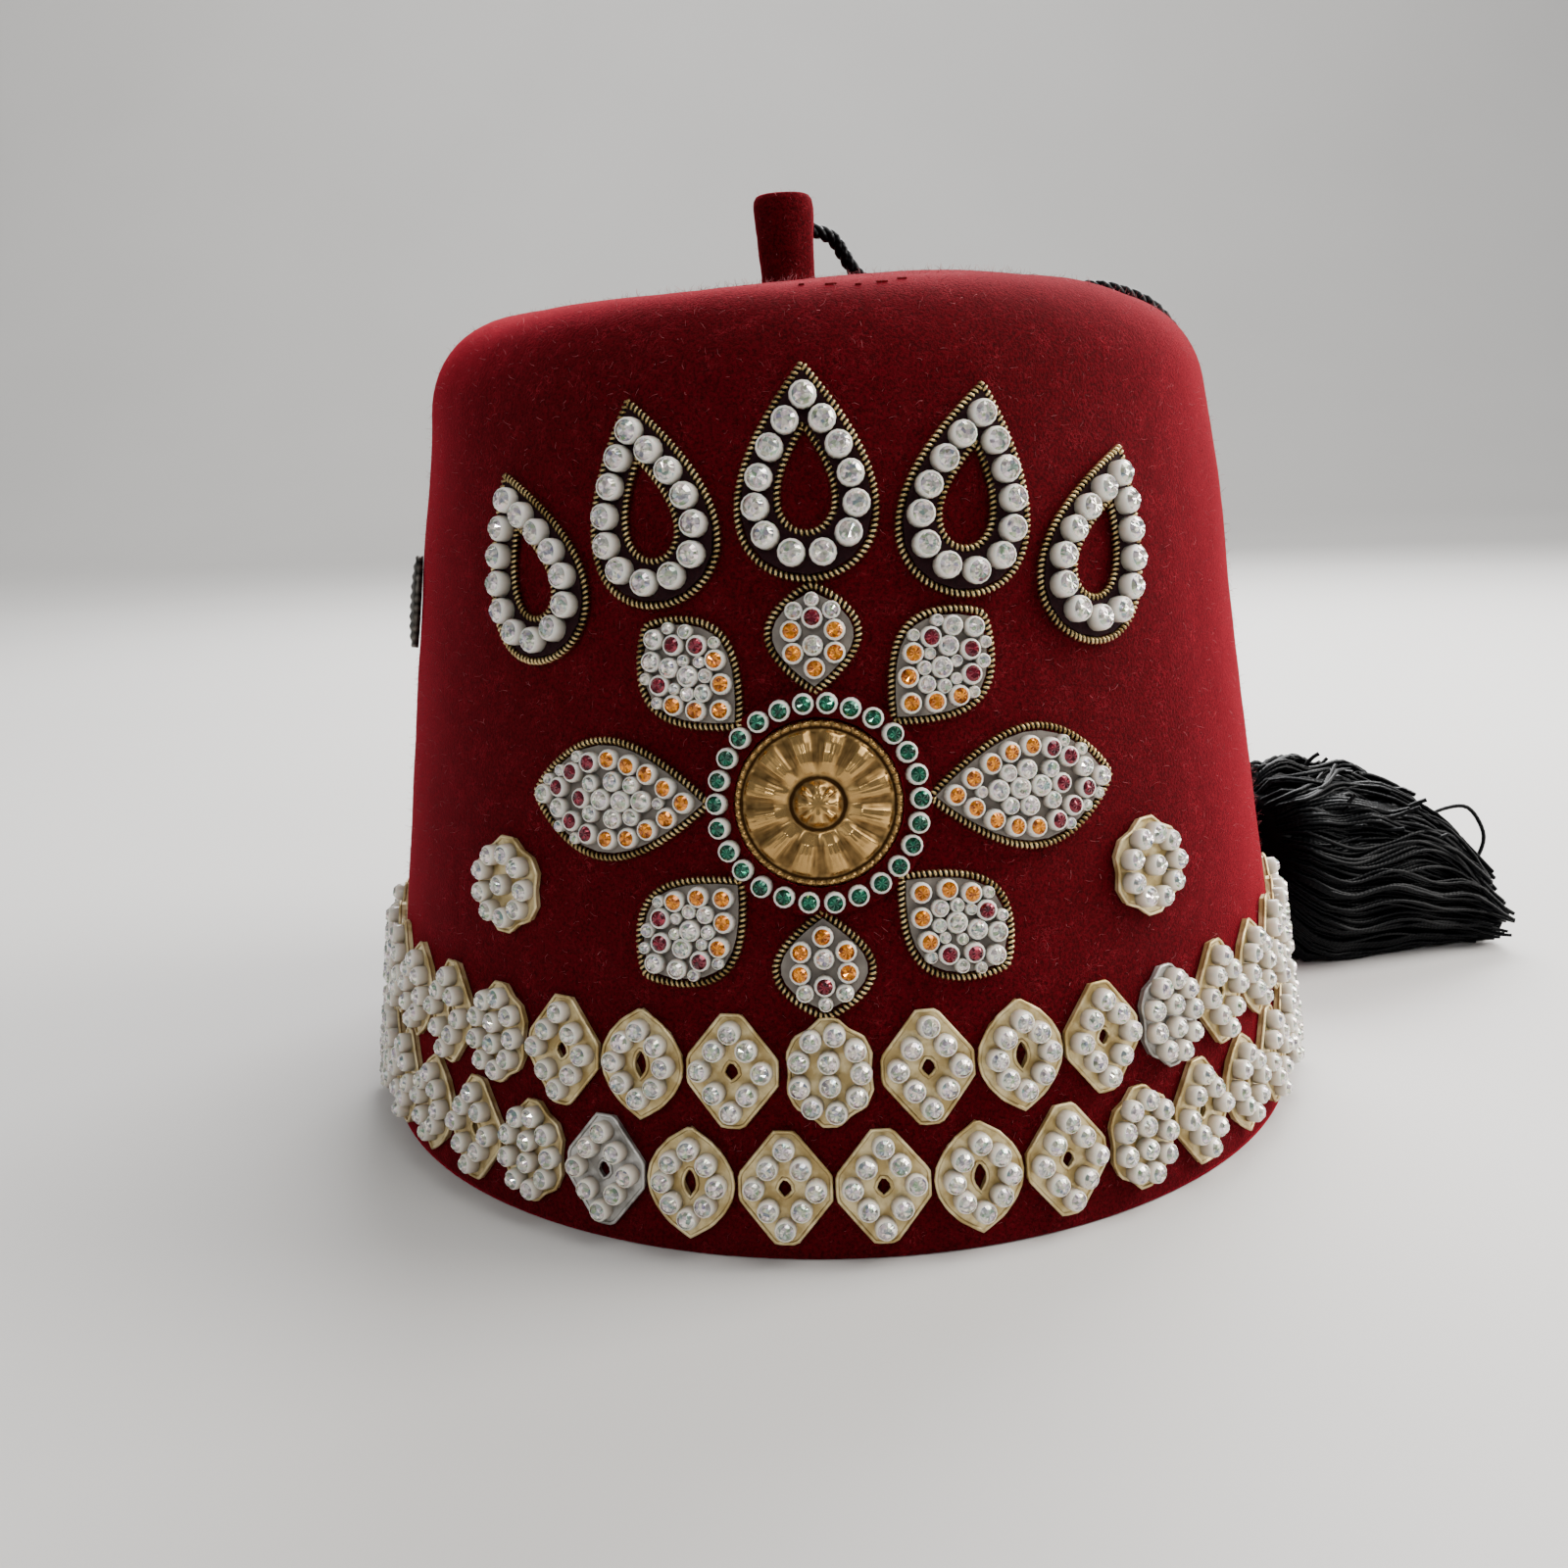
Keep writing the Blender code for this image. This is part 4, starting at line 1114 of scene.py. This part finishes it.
def leaf(length, width, count, start=0.0):
    """A pointed petal along +Y from start, widest past its middle."""
    half = []
    for k in range(1, count):
        v = k / count
        half.append((width / 2 * math.sin(math.pi * v**1.15) ** 0.80, start + length * v))
    return [(0.0, start), *half, (0.0, start + length)] + [(-x, y) for x, y in reversed(half)]


def circle(radius, count):
    """Points evenly round a circle."""
    turns = [2 * math.pi * k / count for k in range(count)]
    return [(radius * math.cos(turn), radius * math.sin(turn)) for turn in turns]


def loop_outline(width, length, count):
    """A closed teardrop with its point up, centred on its own box."""
    made = []
    for k in range(count):
        turn = 2 * math.pi * k / count
        x = -width / 2 * math.sin(turn) * abs(math.sin(turn / 2)) / 0.77
        made.append((x, length / 2 * math.cos(turn)))
    return made


def lozenge(width, height):
    """A lozenge with blunted corners."""
    blunt = 0.22
    right, top = width / 2, height / 2
    corners = [(right, -top * blunt), (right, top * blunt), (right * blunt, top), (-right * blunt, top)]
    return corners + [(-x, -y) for x, y in corners]


def almond(width, height, count):
    """A pointed oval standing on one point."""
    right = [(0.0, -height / 2)]
    for k in range(1, count):
        share = k / count
        right.append((width / 2 * math.sin(math.pi * share) ** 0.75, -height / 2 + height * share))
    return right + [(0.0, height / 2)] + [(-x, y) for x, y in reversed(right[1:])]


def flower(width, height):
    """A six-lobed flower standing on one lobe."""
    made = []
    for k in range(18):
        turn = 2 * math.pi * k / 18
        reach = 0.93 - 0.07 * math.cos(6 * turn)
        made.append((width / 2 * reach * math.cos(turn), height / 2 * reach * math.sin(turn)))
    return made


def turned_outline(outline, turn):
    """Flat points turned anticlockwise."""
    c, s = math.cos(turn), math.sin(turn)
    return [(x * c - y * s, x * s + y * c) for x, y in outline]


def spaced(outline, pitch):
    """Points along a closed outline at an even pitch near the one asked for."""
    loop = np.array([*outline, outline[0]])
    length = np.concatenate([[0], np.cumsum(np.hypot(*np.diff(loop, axis=0).T))])
    count = max(3, int(length[-1] / pitch))
    places = np.arange(count) * length[-1] / count
    return [tuple(float(np.interp(p, length, loop[:, k])) for k in (0, 1)) for p in places]


def inside(point, outline):
    """Whether a point lies within the outline."""
    x, y = point
    hits = 0
    for (x0, y0), (x1, y1) in zip(outline, [*outline[1:], outline[0]]):
        if (y0 > y) != (y1 > y) and x < x0 + (y - y0) * (x1 - x0) / (y1 - y0):
            hits += 1
    return hits % 2 == 1


def clearance(point, outline):
    """Distance from a point to the outline."""
    best = math.inf
    p = Vector(point)
    for a, b in zip(outline, [*outline[1:], outline[0]]):
        a, b = Vector(a), Vector(b)
        along = b - a
        t = max(0.0, min(1.0, (p - a).dot(along) / max(along.length_squared, 1e-18)))
        best = min(best, (p - a - along * t).length)
    return best


def fitting(stones, outline):
    """The stones that clear the edge and each stone before them."""
    kept = []
    for stone in stones:
        apart = all(math.dist(stone, other) > STONE_DIAMETER * 1.02 for other in kept)
        if apart and inside(stone, outline) and clearance(stone, outline) > STONE_DIAMETER * 0.51:
            kept.append(stone)
    return kept


def packed(taken, outline, diameter):
    """More cups where an outline has room, from its middle line out. Each is its x, y and diameter."""
    xs, ys = zip(*outline)
    spots = [(x, y) for x in np.arange(0.0, max(xs), 0.0004) for y in np.arange(min(ys), max(ys), 0.0004)]
    more = []
    for x, y in spots:
        for spot in sorted({(float(x), float(y)), (float(-x), float(y))}):
            others = [*taken, *more]
            apart = all(math.dist(spot, (a, b)) > (diameter + other) / 2 * 0.97 for a, b, other in others)
            if apart and inside(spot, outline) and clearance(spot, outline) > diameter * 0.5:
                more.append((*spot, diameter))
    return more


# Jewel work


class Tray:
    """Stones and edging gathered from every motif, by finish, until the trees set them."""

    def __init__(self):
        self.rng = np.random.default_rng(5)
        self.stones = {}
        self.purl = []
        self.rolled = {}

    def set_stones(self, kind, patch, flat, out):
        """Marks where stones sit. Each leans a few degrees, as glued by hand, and is spun at random."""
        if not len(flat):
            return
        facing = patch.facing(flat) + self.rng.normal(0, 0.055, (len(flat), 3))
        facing /= np.linalg.norm(facing, axis=1, keepdims=True)
        spin = self.rng.uniform(0, 2 * math.pi, len(flat))
        points, ways, spins = self.stones.setdefault(kind, ([], [], []))
        points.extend(patch.lay(flat, out))
        ways.extend(facing)
        spins.extend(spin)


def lay_edge(paths, patch, outline, out):
    """Marks an edging along a closed outline."""
    flat = spaced(outline, EDGE_STEP)
    paths.append((patch.lay(flat, out), patch.facing(flat)))


def ring_inner():
    """The stone ring's inner radius."""
    return MEDALLION_DIAMETER / 2 + SEAT_GAP


def ring_outer():
    """The stone ring's outer radius."""
    return ring_inner() + STONE_DIAMETER + 2 * STONE_MARGIN


def petal_reach(turn):
    """How far the petals reach from the rosette's middle, in the direction of turn from straight up."""
    return 1 / math.hypot(math.sin(turn) / (ROSETTE_WIDTH / 2), math.cos(turn) / (ROSETTE_DEPTH / 2))


def lay_rosette(tray):
    """A ring of emeralds, and petals with an amber border, a clear heart and a ruby tip, edged in purl."""
    patch = Patch(JEWEL_CENTRE, ROSETTE_HEIGHT)
    top = SEAT_GAP + BACKING_THICKNESS
    middle = (ring_inner() + ring_outer()) / 2
    ring = circle(middle, int(2 * math.pi * middle / STONE_PITCH))
    tray.set_stones("emerald", patch, ring, top)
    start = ring_outer() + SEAT_GAP
    longest = petal_reach(math.pi / 2) - start
    margin = STONE_DIAMETER / 2 + STONE_MARGIN
    for k in range(PETAL_COUNT):
        turn = 2 * math.pi * k / PETAL_COUNT
        length = petal_reach(turn) - start
        width = PETAL_WIDTH * (length / longest) ** 0.4
        within = leaf(length - 3.2 * margin, width - 2 * margin, 10, start + 1.3 * margin)
        border = spaced(within, STONE_PITCH)
        rows = int(length / STONE_PITCH)
        heart = [(0.0, start + length / 2 + (j - (rows - 1) / 2) * STONE_PITCH) for j in range(rows)]
        kept = fitting(border + heart, leaf(length, width, 10, start))
        sorted_out = {"ruby": [], "amber": [], "clear": []}
        for stone in kept:
            share = (stone[1] - start) / length
            kind = "ruby" if share > 0.60 else "amber" if stone in border else "clear"
            sorted_out[kind].append(stone)
        outline = leaf(length + 0.0006, width + 0.0006, 16, start)
        taken = [(x, y, STONE_DIAMETER) for x, y in kept]
        for size, diameter in enumerate(FILL_CUPS):
            more = packed(taken, outline, diameter)
            taken += more
            sorted_out[f"fill_{size + 1}"] = [(x, y) for x, y, _ in more]
        for kind, stones in sorted_out.items():
            tray.set_stones(kind, patch, turned_outline(stones, -turn), top)
        size = length + COIL_DIAMETER * 1.3, width + COIL_DIAMETER * 1.1
        edge = leaf(*size, 24, start - COIL_DIAMETER * 0.6)
        lay_edge(tray.purl, patch, turned_outline(edge, -turn), SEAT_GAP + COIL_DIAMETER / 2)


LOOPS = (
    # across as a share of the fan's width, down as a share of its drop, lean in degrees
    (-0.50, 1.0, 24.0),
    (-0.255, 0.28, 12.0),
    (0.0, 0.0, 0.0),
    (0.255, 0.28, -12.0),
    (0.50, 1.0, -24.0),
)


def lay_loops(tray):
    """Clear stones in single file round each loop, with purl along both edges."""
    for across, down, lean in LOOPS:
        patch = Patch(JEWEL_CENTRE + across * FAN_WIDTH, FAN_HEIGHT - down * FAN_DROP, math.radians(lean))
        outer = loop_outline(LOOP_WIDTH, LOOP_LENGTH, 60)
        inner = loop_outline(LOOP_WIDTH - 2 * LOOP_STROKE, LOOP_LENGTH - 2.9 * LOOP_STROKE, 60)
        inner = [(x, y - 0.22 * LOOP_STROKE) for x, y in inner]
        between = [((a + c) / 2, (b + d) / 2) for (a, b), (c, d) in zip(outer, inner)]
        tray.set_stones("large", patch, spaced(between, LARGE_CUP), SEAT_GAP + BACKING_THICKNESS)
        for outline, grow_by in ((outer, COIL_DIAMETER * 0.45), (inner, -COIL_DIAMETER * 0.45)):
            half_x = max(x for x, _ in outline)
            half_y = LOOP_LENGTH / 2
            wide = [(x * (1 + grow_by / half_x), y * (1 + grow_by / half_y)) for x, y in outline]
            lay_edge(tray.purl, patch, wide, SEAT_GAP + COIL_DIAMETER / 2)


def tile_stones(kind):
    """Where the stones sit on a plate of each kind."""
    if kind == "lozenge":
        quarter = [(0.0, 0.0062), (0.0025, 0.0033), (0.0047, 0.0)]
        return sorted({(sx * x, sy * y) for x, y in quarter for sx in (1, -1) for sy in (1, -1)})
    if kind == "almond":
        return spaced(almond(TILE_WIDTH - 0.0052, TILE_DEPTH - 0.0064, 8), PEARL_PITCH)
    around = [(x * (TILE_WIDTH - 0.0044) / 2, y * (TILE_DEPTH - 0.0050) / 2) for x, y in circle(1.0, 48)]
    return [(0.0, 0.0018), (0.0, -0.0018), *spaced(around, PEARL_PITCH)]


def lay_tiles(tray):
    """Two rows of plates with rolled edges, set with clear stones in pearl cups."""
    outlines = {
        "lozenge": (lozenge(TILE_WIDTH, TILE_DEPTH), lozenge(TILE_HOLE * 0.8, TILE_HOLE)),
        "flower": (flower(TILE_WIDTH, TILE_DEPTH), None),
        "almond": (almond(TILE_WIDTH, TILE_DEPTH, 8), almond(TILE_HOLE * 0.8, TILE_HOLE * 1.6, 4)),
    }
    rows = (
        ("upper", UPPER_ROW_HEIGHT, UPPER_ROW_TILES, ("flower", "lozenge", "almond", "lozenge")),
        ("lower", LOWER_ROW_HEIGHT, LOWER_ROW_TILES, ("lozenge", "almond", "lozenge", "flower")),
    )
    top = SEAT_GAP + PLATE_THICKNESS
    for name, height, count, order in rows:
        for k in range(count):
            place = k - (count - 1) / 2
            kind = order[int(abs(place)) % len(order)]
            patch = Patch(JEWEL_CENTRE + place * TILE_PITCH, height)
            tray.set_stones("pearl", patch, tile_stones(kind), top)
            kid = "silvered_kid" if (name, k) in SILVERED_TILES else "gilded_kid"
            for outline in outlines[kind]:
                if outline:
                    lay_edge(tray.rolled.setdefault(kid, []), patch, outline, top)
            dress(f"tile_{name}_{k + 1}", finishes[kid])


def lay_side_flowers(tray):
    """A small plate on each side of the rosette, set like the tiles."""
    around = circle(SIDE_FLOWER_DIAMETER / 2 - 0.0028, 36)
    for name, side in (("side_flower_left", -1), ("side_flower_right", 1)):
        patch = Patch(JEWEL_CENTRE + side * SIDE_FLOWER_REACH, SIDE_FLOWER_HEIGHT)
        top = SEAT_GAP + PLATE_THICKNESS
        tray.set_stones("pearl", patch, [(0.0, 0.0), *spaced(around, PEARL_PITCH)], top)
        outline = flower(SIDE_FLOWER_DIAMETER, SIDE_FLOWER_DIAMETER)
        lay_edge(tray.rolled.setdefault("gilded_kid", []), patch, outline, top)
        dress(name, finishes["gilded_kid"])


def dress(node, finish):
    """Gives a CAD node its finish."""
    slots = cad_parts[node].material_slots
    for k in range(len(slots)):
        slots[k].material = finish


def cup_shape():
    """A cup one across and one high, with rounded shoulders. Its recess attribute, which paints shade on the
    cup, falls from foot to lip.
    """
    rings, low = [], []
    for radius, height in ((0.49, 0.0), (0.50, 0.45), (0.49, 0.76), (0.455, 0.93), (0.40, 1.0)):
        rings.append(level_ring(full_turn(14), radius, height))
        low += [1.0 - min(1.0, height / 0.9)] * 14
    made = solid("cup_shape", *skin(rings), None)
    mark(made.data, "recess", low)
    return made


def stone_shape():
    """A stone one across and one high: sloping facets from its girdle, and a table cut as a star."""
    turns = full_turn(16)
    odd = np.arange(16) % 2
    star = level_ring(turns, np.where(odd, 0.34, 0.30), np.where(odd, 0.86, 1.0))
    rings = [level_ring(turns, 0.44, -0.4), level_ring(turns, 0.50, 0.0), star]
    points, faces = skin(rings, close_last=False)
    pole = len(points)
    points.append(np.array([0.0, 0.0, 0.90]))
    faces += [(32 + k, 32 + (k + 1) % 16, pole) for k in range(16)]
    return solid("stone_shape", points, faces, None, smooth=False)


def set_tray(tray):
    """Sets cups and stones on their points, winds the purl and rolls the plates' edges."""
    cup, stone = cup_shape(), stone_shape()
    kinds = {
        # cup diameter, cup height, share of the cup that the stone fills, slot
        "emerald": (SMALL_CUP, CUP_HEIGHT, 0.74, "white_acrylic"),
        "amber": (SMALL_CUP, CUP_HEIGHT, 0.74, "white_acrylic"),
        "ruby": (SMALL_CUP, CUP_HEIGHT, 0.74, "white_acrylic"),
        "clear": (CLEAR_CUP, CUP_HEIGHT, 0.76, "white_acrylic"),
        "large": (LARGE_CUP, CUP_HEIGHT * 1.25, 0.78, "white_acrylic"),
        "pearl": (PEARL_DIAMETER, PEARL_HEIGHT, 0.78, "cream_acrylic"),
    }
    for k, width in enumerate(FILL_CUPS):
        height = CUP_HEIGHT * (0.55 + 0.45 * width / FILL_CUPS[0])
        kinds[f"fill_{k + 1}"] = (width, height, 0.76, "white_acrylic")
    for kind, (points, ways, spins) in tray.stones.items():
        wide, high, filled, acrylic = kinds[kind]
        points, ways = np.array(points), np.array(ways)
        spots = point_bed(kind + "_spots", points, ways, spins)
        sizes = {"Shape": cup, "Diameter": wide, "Height": high, "Material": finishes[acrylic]}
        cups = grow(kind + "_cups", spots, trees["settings"], sizes)
        spots = point_bed(kind + "_tops", points + ways * high, ways, spins)
        glass = finishes[(kind if kind in ("emerald", "amber", "ruby") else "clear") + "_glass"]
        sizes = {"Shape": stone, "Diameter": wide * filled, "Height": wide * 0.16, "Material": glass}
        stones = grow(kind + "_stones", spots, trees["settings"], sizes)
        cups.data.shade_smooth()
        cups.data.set_sharp_from_angle(angle=math.radians(50))
        for piece in (cups, stones):
            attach(piece, "root")
    for shape in (cup, stone):
        bpy.data.objects.remove(shape)
    sizes = {"Coil Diameter": COIL_DIAMETER, "Wire Diameter": COIL_WIRE, "Turn": COIL_TURN}
    sizes["Material"] = finishes["bullion"]
    purl = grow("purl", path_bed("purl_paths", tray.purl, closed=True), trees["coil"], sizes)
    purl.data.shade_smooth()
    # A black strand inside each coil: painted shade for the coil's hollow, seen between the turns
    core = grow_strands("purl_core", tray.purl, True, COIL_DIAMETER * 0.55, 6, finishes["black_silk"])
    for piece in (purl, core):
        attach(piece, "root")
    for kind, paths in tray.rolled.items():
        edge = grow_strands(kind + "_edges", paths, True, ROLLED_EDGE, 6, finishes[kind])
        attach(edge, "root")


def make_medallion(finish):
    """A stamped flower: twelve ribbed gadroons round a boss, within a beaded border."""
    patch = Patch(JEWEL_CENTRE, ROSETTE_HEIGHT)
    radius = MEDALLION_DIAMETER / 2
    turns = full_turn(192)
    profile = np.array(
        (
            # share of the radius, share of the rise, depth of the grooves as a share of the rise
            (0.00, 1.00, 0.00),
            (0.12, 0.98, 0.00),
            (0.22, 0.86, 0.06),
            (0.28, 0.62, 0.00),
            (0.34, 0.56, 0.00),
            (0.40, 0.66, 0.06),
            (0.50, 0.80, 0.16),
            (0.62, 0.80, 0.24),
            (0.74, 0.70, 0.26),
            (0.84, 0.54, 0.20),
            (0.88, 0.40, 0.04),
            (0.91, 0.38, 0.00),
            (0.95, 0.46, 0.00),
            (0.99, 0.34, 0.00),
            (1.00, 0.20, 0.00),
        )
    )
    shares = np.concatenate([[1.0], np.linspace(1.0, 0.02, 64)])
    rings, low = [], []
    for row, share in enumerate(shares):
        rise, groove = (float(np.interp(share, profile[:, 0], profile[:, k])) for k in (1, 2))
        hollow = (0.5 + 0.5 * np.cos(12 * turns)) ** 2
        ribs = 0.04 * np.sin(72 * turns) * np.exp(-(((share - 0.66) / 0.14) ** 2))
        beads = 0.10 * np.cos(48 * turns) * np.exp(-(((share - 0.95) / 0.03) ** 2))
        petals = 0.07 * np.cos(8 * turns) * np.exp(-(((share - 0.18) / 0.06) ** 2))
        height = rise - groove * hollow + ribs + beads + petals
        if row == 0:
            height = 0 * turns
        flat = np.stack([radius * share * np.cos(turns), radius * share * np.sin(turns)], 1)
        rings.append(patch.lay(flat, SEAT_GAP + MEDALLION_RISE * height))
        depth = np.clip(1.6 * groove / 0.26 * hollow - 12 * (ribs + beads + petals), 0, 1)
        trough = math.exp(-(((share - 0.31) / 0.04) ** 2)) + math.exp(-(((share - 0.90) / 0.025) ** 2))
        low.extend(np.clip(0.55 * depth + 0.9 * trough, 0, 1))
    made = solid("brass_flower", *skin(rings), finish)
    mark(made.data, "recess", low)
    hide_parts("medallion")
    return made


def make_pin(finish):
    """The dark bar on the left side, with grooves across it."""
    patch = Patch(arc_at_angle(math.radians(PIN_ANGLE), PIN_HEIGHT), PIN_HEIGHT)
    turns = full_turn(64)
    rings, low = [], []
    for row, share in enumerate([1.0, *np.linspace(1.0, 0.03, 24)]):
        flat = np.stack([share * PIN_WIDTH / 2 * np.cos(turns), share * PIN_DEPTH / 2 * np.sin(turns)], 1)
        groove = 0.5 + 0.5 * np.cos(2 * math.pi * flat[:, 1] / 0.0019)
        height = PIN_THICKNESS * (0.62 + 0.38 * math.sqrt(max(0.0, 1 - share**2))) - 0.0003 * groove
        rings.append(patch.lay(flat, SEAT_GAP + (height if row else 0 * turns)))
        low.extend(groove)
    made = solid("grooved_pin", *skin(rings), finish)
    mark(made.data, "recess", low)
    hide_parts("side_pin")
    return made


def fibre_shape():
    """A curled fibre one long, for the nap."""
    turns = np.array((0.0, 2.1, 4.2))
    rings = []
    for place, radius in (((0, 0, -0.05), 0.022), ((0.20, 0.04, 0.48), 0.018), ((0.62, 0.20, 0.70), 0.010)):
        rings.append(np.array(place) + level_ring(turns, radius, 0.0))
    return solid("fibre_shape", *skin(rings), None)


def make_nap(stem, finish):
    """Loose fibres that stand up from the crown's outside and the stem."""
    fibre = fibre_shape()
    rings = [crown_point(full_turn(90), path) for path in np.linspace(0.003, MIDDLE - 0.003, 60)]
    points, faces = skin(rings, close_first=False, close_last=False)
    outside = bpy.data.meshes.new("nap_bed")
    outside.from_pydata(np.asarray(points).tolist(), [], faces)
    sizes = {"Fibres per Square Metre": NAP_PER_SQUARE_METRE, "Length": NAP_LENGTH, "Seed": 3}
    sizes |= {"Fibre": fibre, "Material": finish}
    made = [grow("felt_nap", outside, trees["nap"], sizes)]
    made.append(grow("stem_nap", stem.data.copy(), trees["nap"], sizes))
    bpy.data.objects.remove(fibre)
    return made


def make_floor(finish):
    """A board that sweeps up into a backdrop far behind the fez."""
    bend, reach = 1.2, 1.8
    profile = [(-3.0, 0.0), (reach, 0.0)]
    for turn in np.radians(np.arange(6, 91, 6)):
        profile.append((reach + bend * math.sin(turn), bend * (1 - math.cos(turn))))
    profile.append((reach + bend, 4.0))
    points = [(x, y, z) for y, z in profile for x in (-5.0, 5.0)]
    faces = [(2 * k, 2 * k + 1, 2 * k + 3, 2 * k + 2) for k in range(len(profile) - 1)]
    return solid("floor", points, faces, finish)


place_camera()
trees = {"strand": strand_tree(), "settings": settings_tree(), "coil": coil_tree(), "nap": nap_tree()}
finishes = {
    "felt": felt_finish(),
    "fibre": fibre_finish(),
    # Near black: dark felt, and painted shade between the loops' stones and purl
    "dark_felt_and_shade": felt_and_painted_shade_finish("black_felt_with_painted_shade", "#090305", "#2b0c12"),
    # Dark red: painted shade in the needle marks' dents
    "needle_dent_shade": felt_and_painted_shade_finish("painted_shade_in_needle_dents", "#4c0004", "#6c0208"),
    "black_silk": silk_finish(),
    "white_acrylic": acrylic_finish("pearlised_white_acrylic", "#f1ece2", "#857e73"),
    "cream_acrylic": acrylic_finish("pearlised_cream_acrylic", "#f2eadb", "#94897a"),
    "clear_glass": glass_finish("foiled_clear_glass", "#8e877c", "#fffaf0", 0.62, 0.18),
    "emerald_glass": glass_finish("foiled_emerald_glass", "#002a1f", "#047052", 0.7, 0.0),
    "amber_glass": glass_finish("foiled_amber_glass", "#934800", "#ff9c0c", 0.7, 0.0),
    "ruby_glass": glass_finish("foiled_ruby_glass", "#3c000e", "#8a0028", 0.7, 0.0),
    "bullion": bullion_finish(),
    "gilded_kid": gilt_finish("gilded_kid_leather", "#e6d3a0", "#b39a62", 0.55),
    "silvered_kid": gilt_finish("silvered_kid_leather", "#c9c7c2", "#8f8c86", 0.55),
    "brass": brass_finish(),
    "dark_metal": dark_metal_finish(),
    "backing": backing_finish(),
}
make_cord(finishes["black_silk"], make_tassel(finishes["black_silk"]))
body = make_crown(finishes["felt"])
stem = make_stem(finishes["felt"])
tray = Tray()
lay_rosette(tray)
lay_loops(tray)
lay_tiles(tray)
lay_side_flowers(tray)
set_tray(tray)
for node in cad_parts:
    if node == "stone_ring":
        dress(node, finishes["felt"])
    if node.startswith("petal_"):
        dress(node, finishes["backing"])
    if node.startswith("loop_"):
        # The loops' backing is near black: dark felt, and painted shade between the stones and the purl
        dress(node, finishes["dark_felt_and_shade"])
medallion = make_medallion(finishes["brass"])
pin = make_pin(finishes["dark_metal"])
nap, stem_nap = make_nap(stem, finishes["fibre"])
# The needle marks' dark red is painted shade in the dents
marks = make_needle_marks(finishes["needle_dent_shade"])
for piece, slot in (
    (body, "red_felt"),
    (stem, "red_felt"),
    (nap, "red_felt"),
    (stem_nap, "red_felt"),
    (marks, "red_felt"),
    (medallion, "brass"),
    (pin, "dark_metal"),
):
    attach(piece, "root")

floor = make_floor(floor_finish())
light_studio()
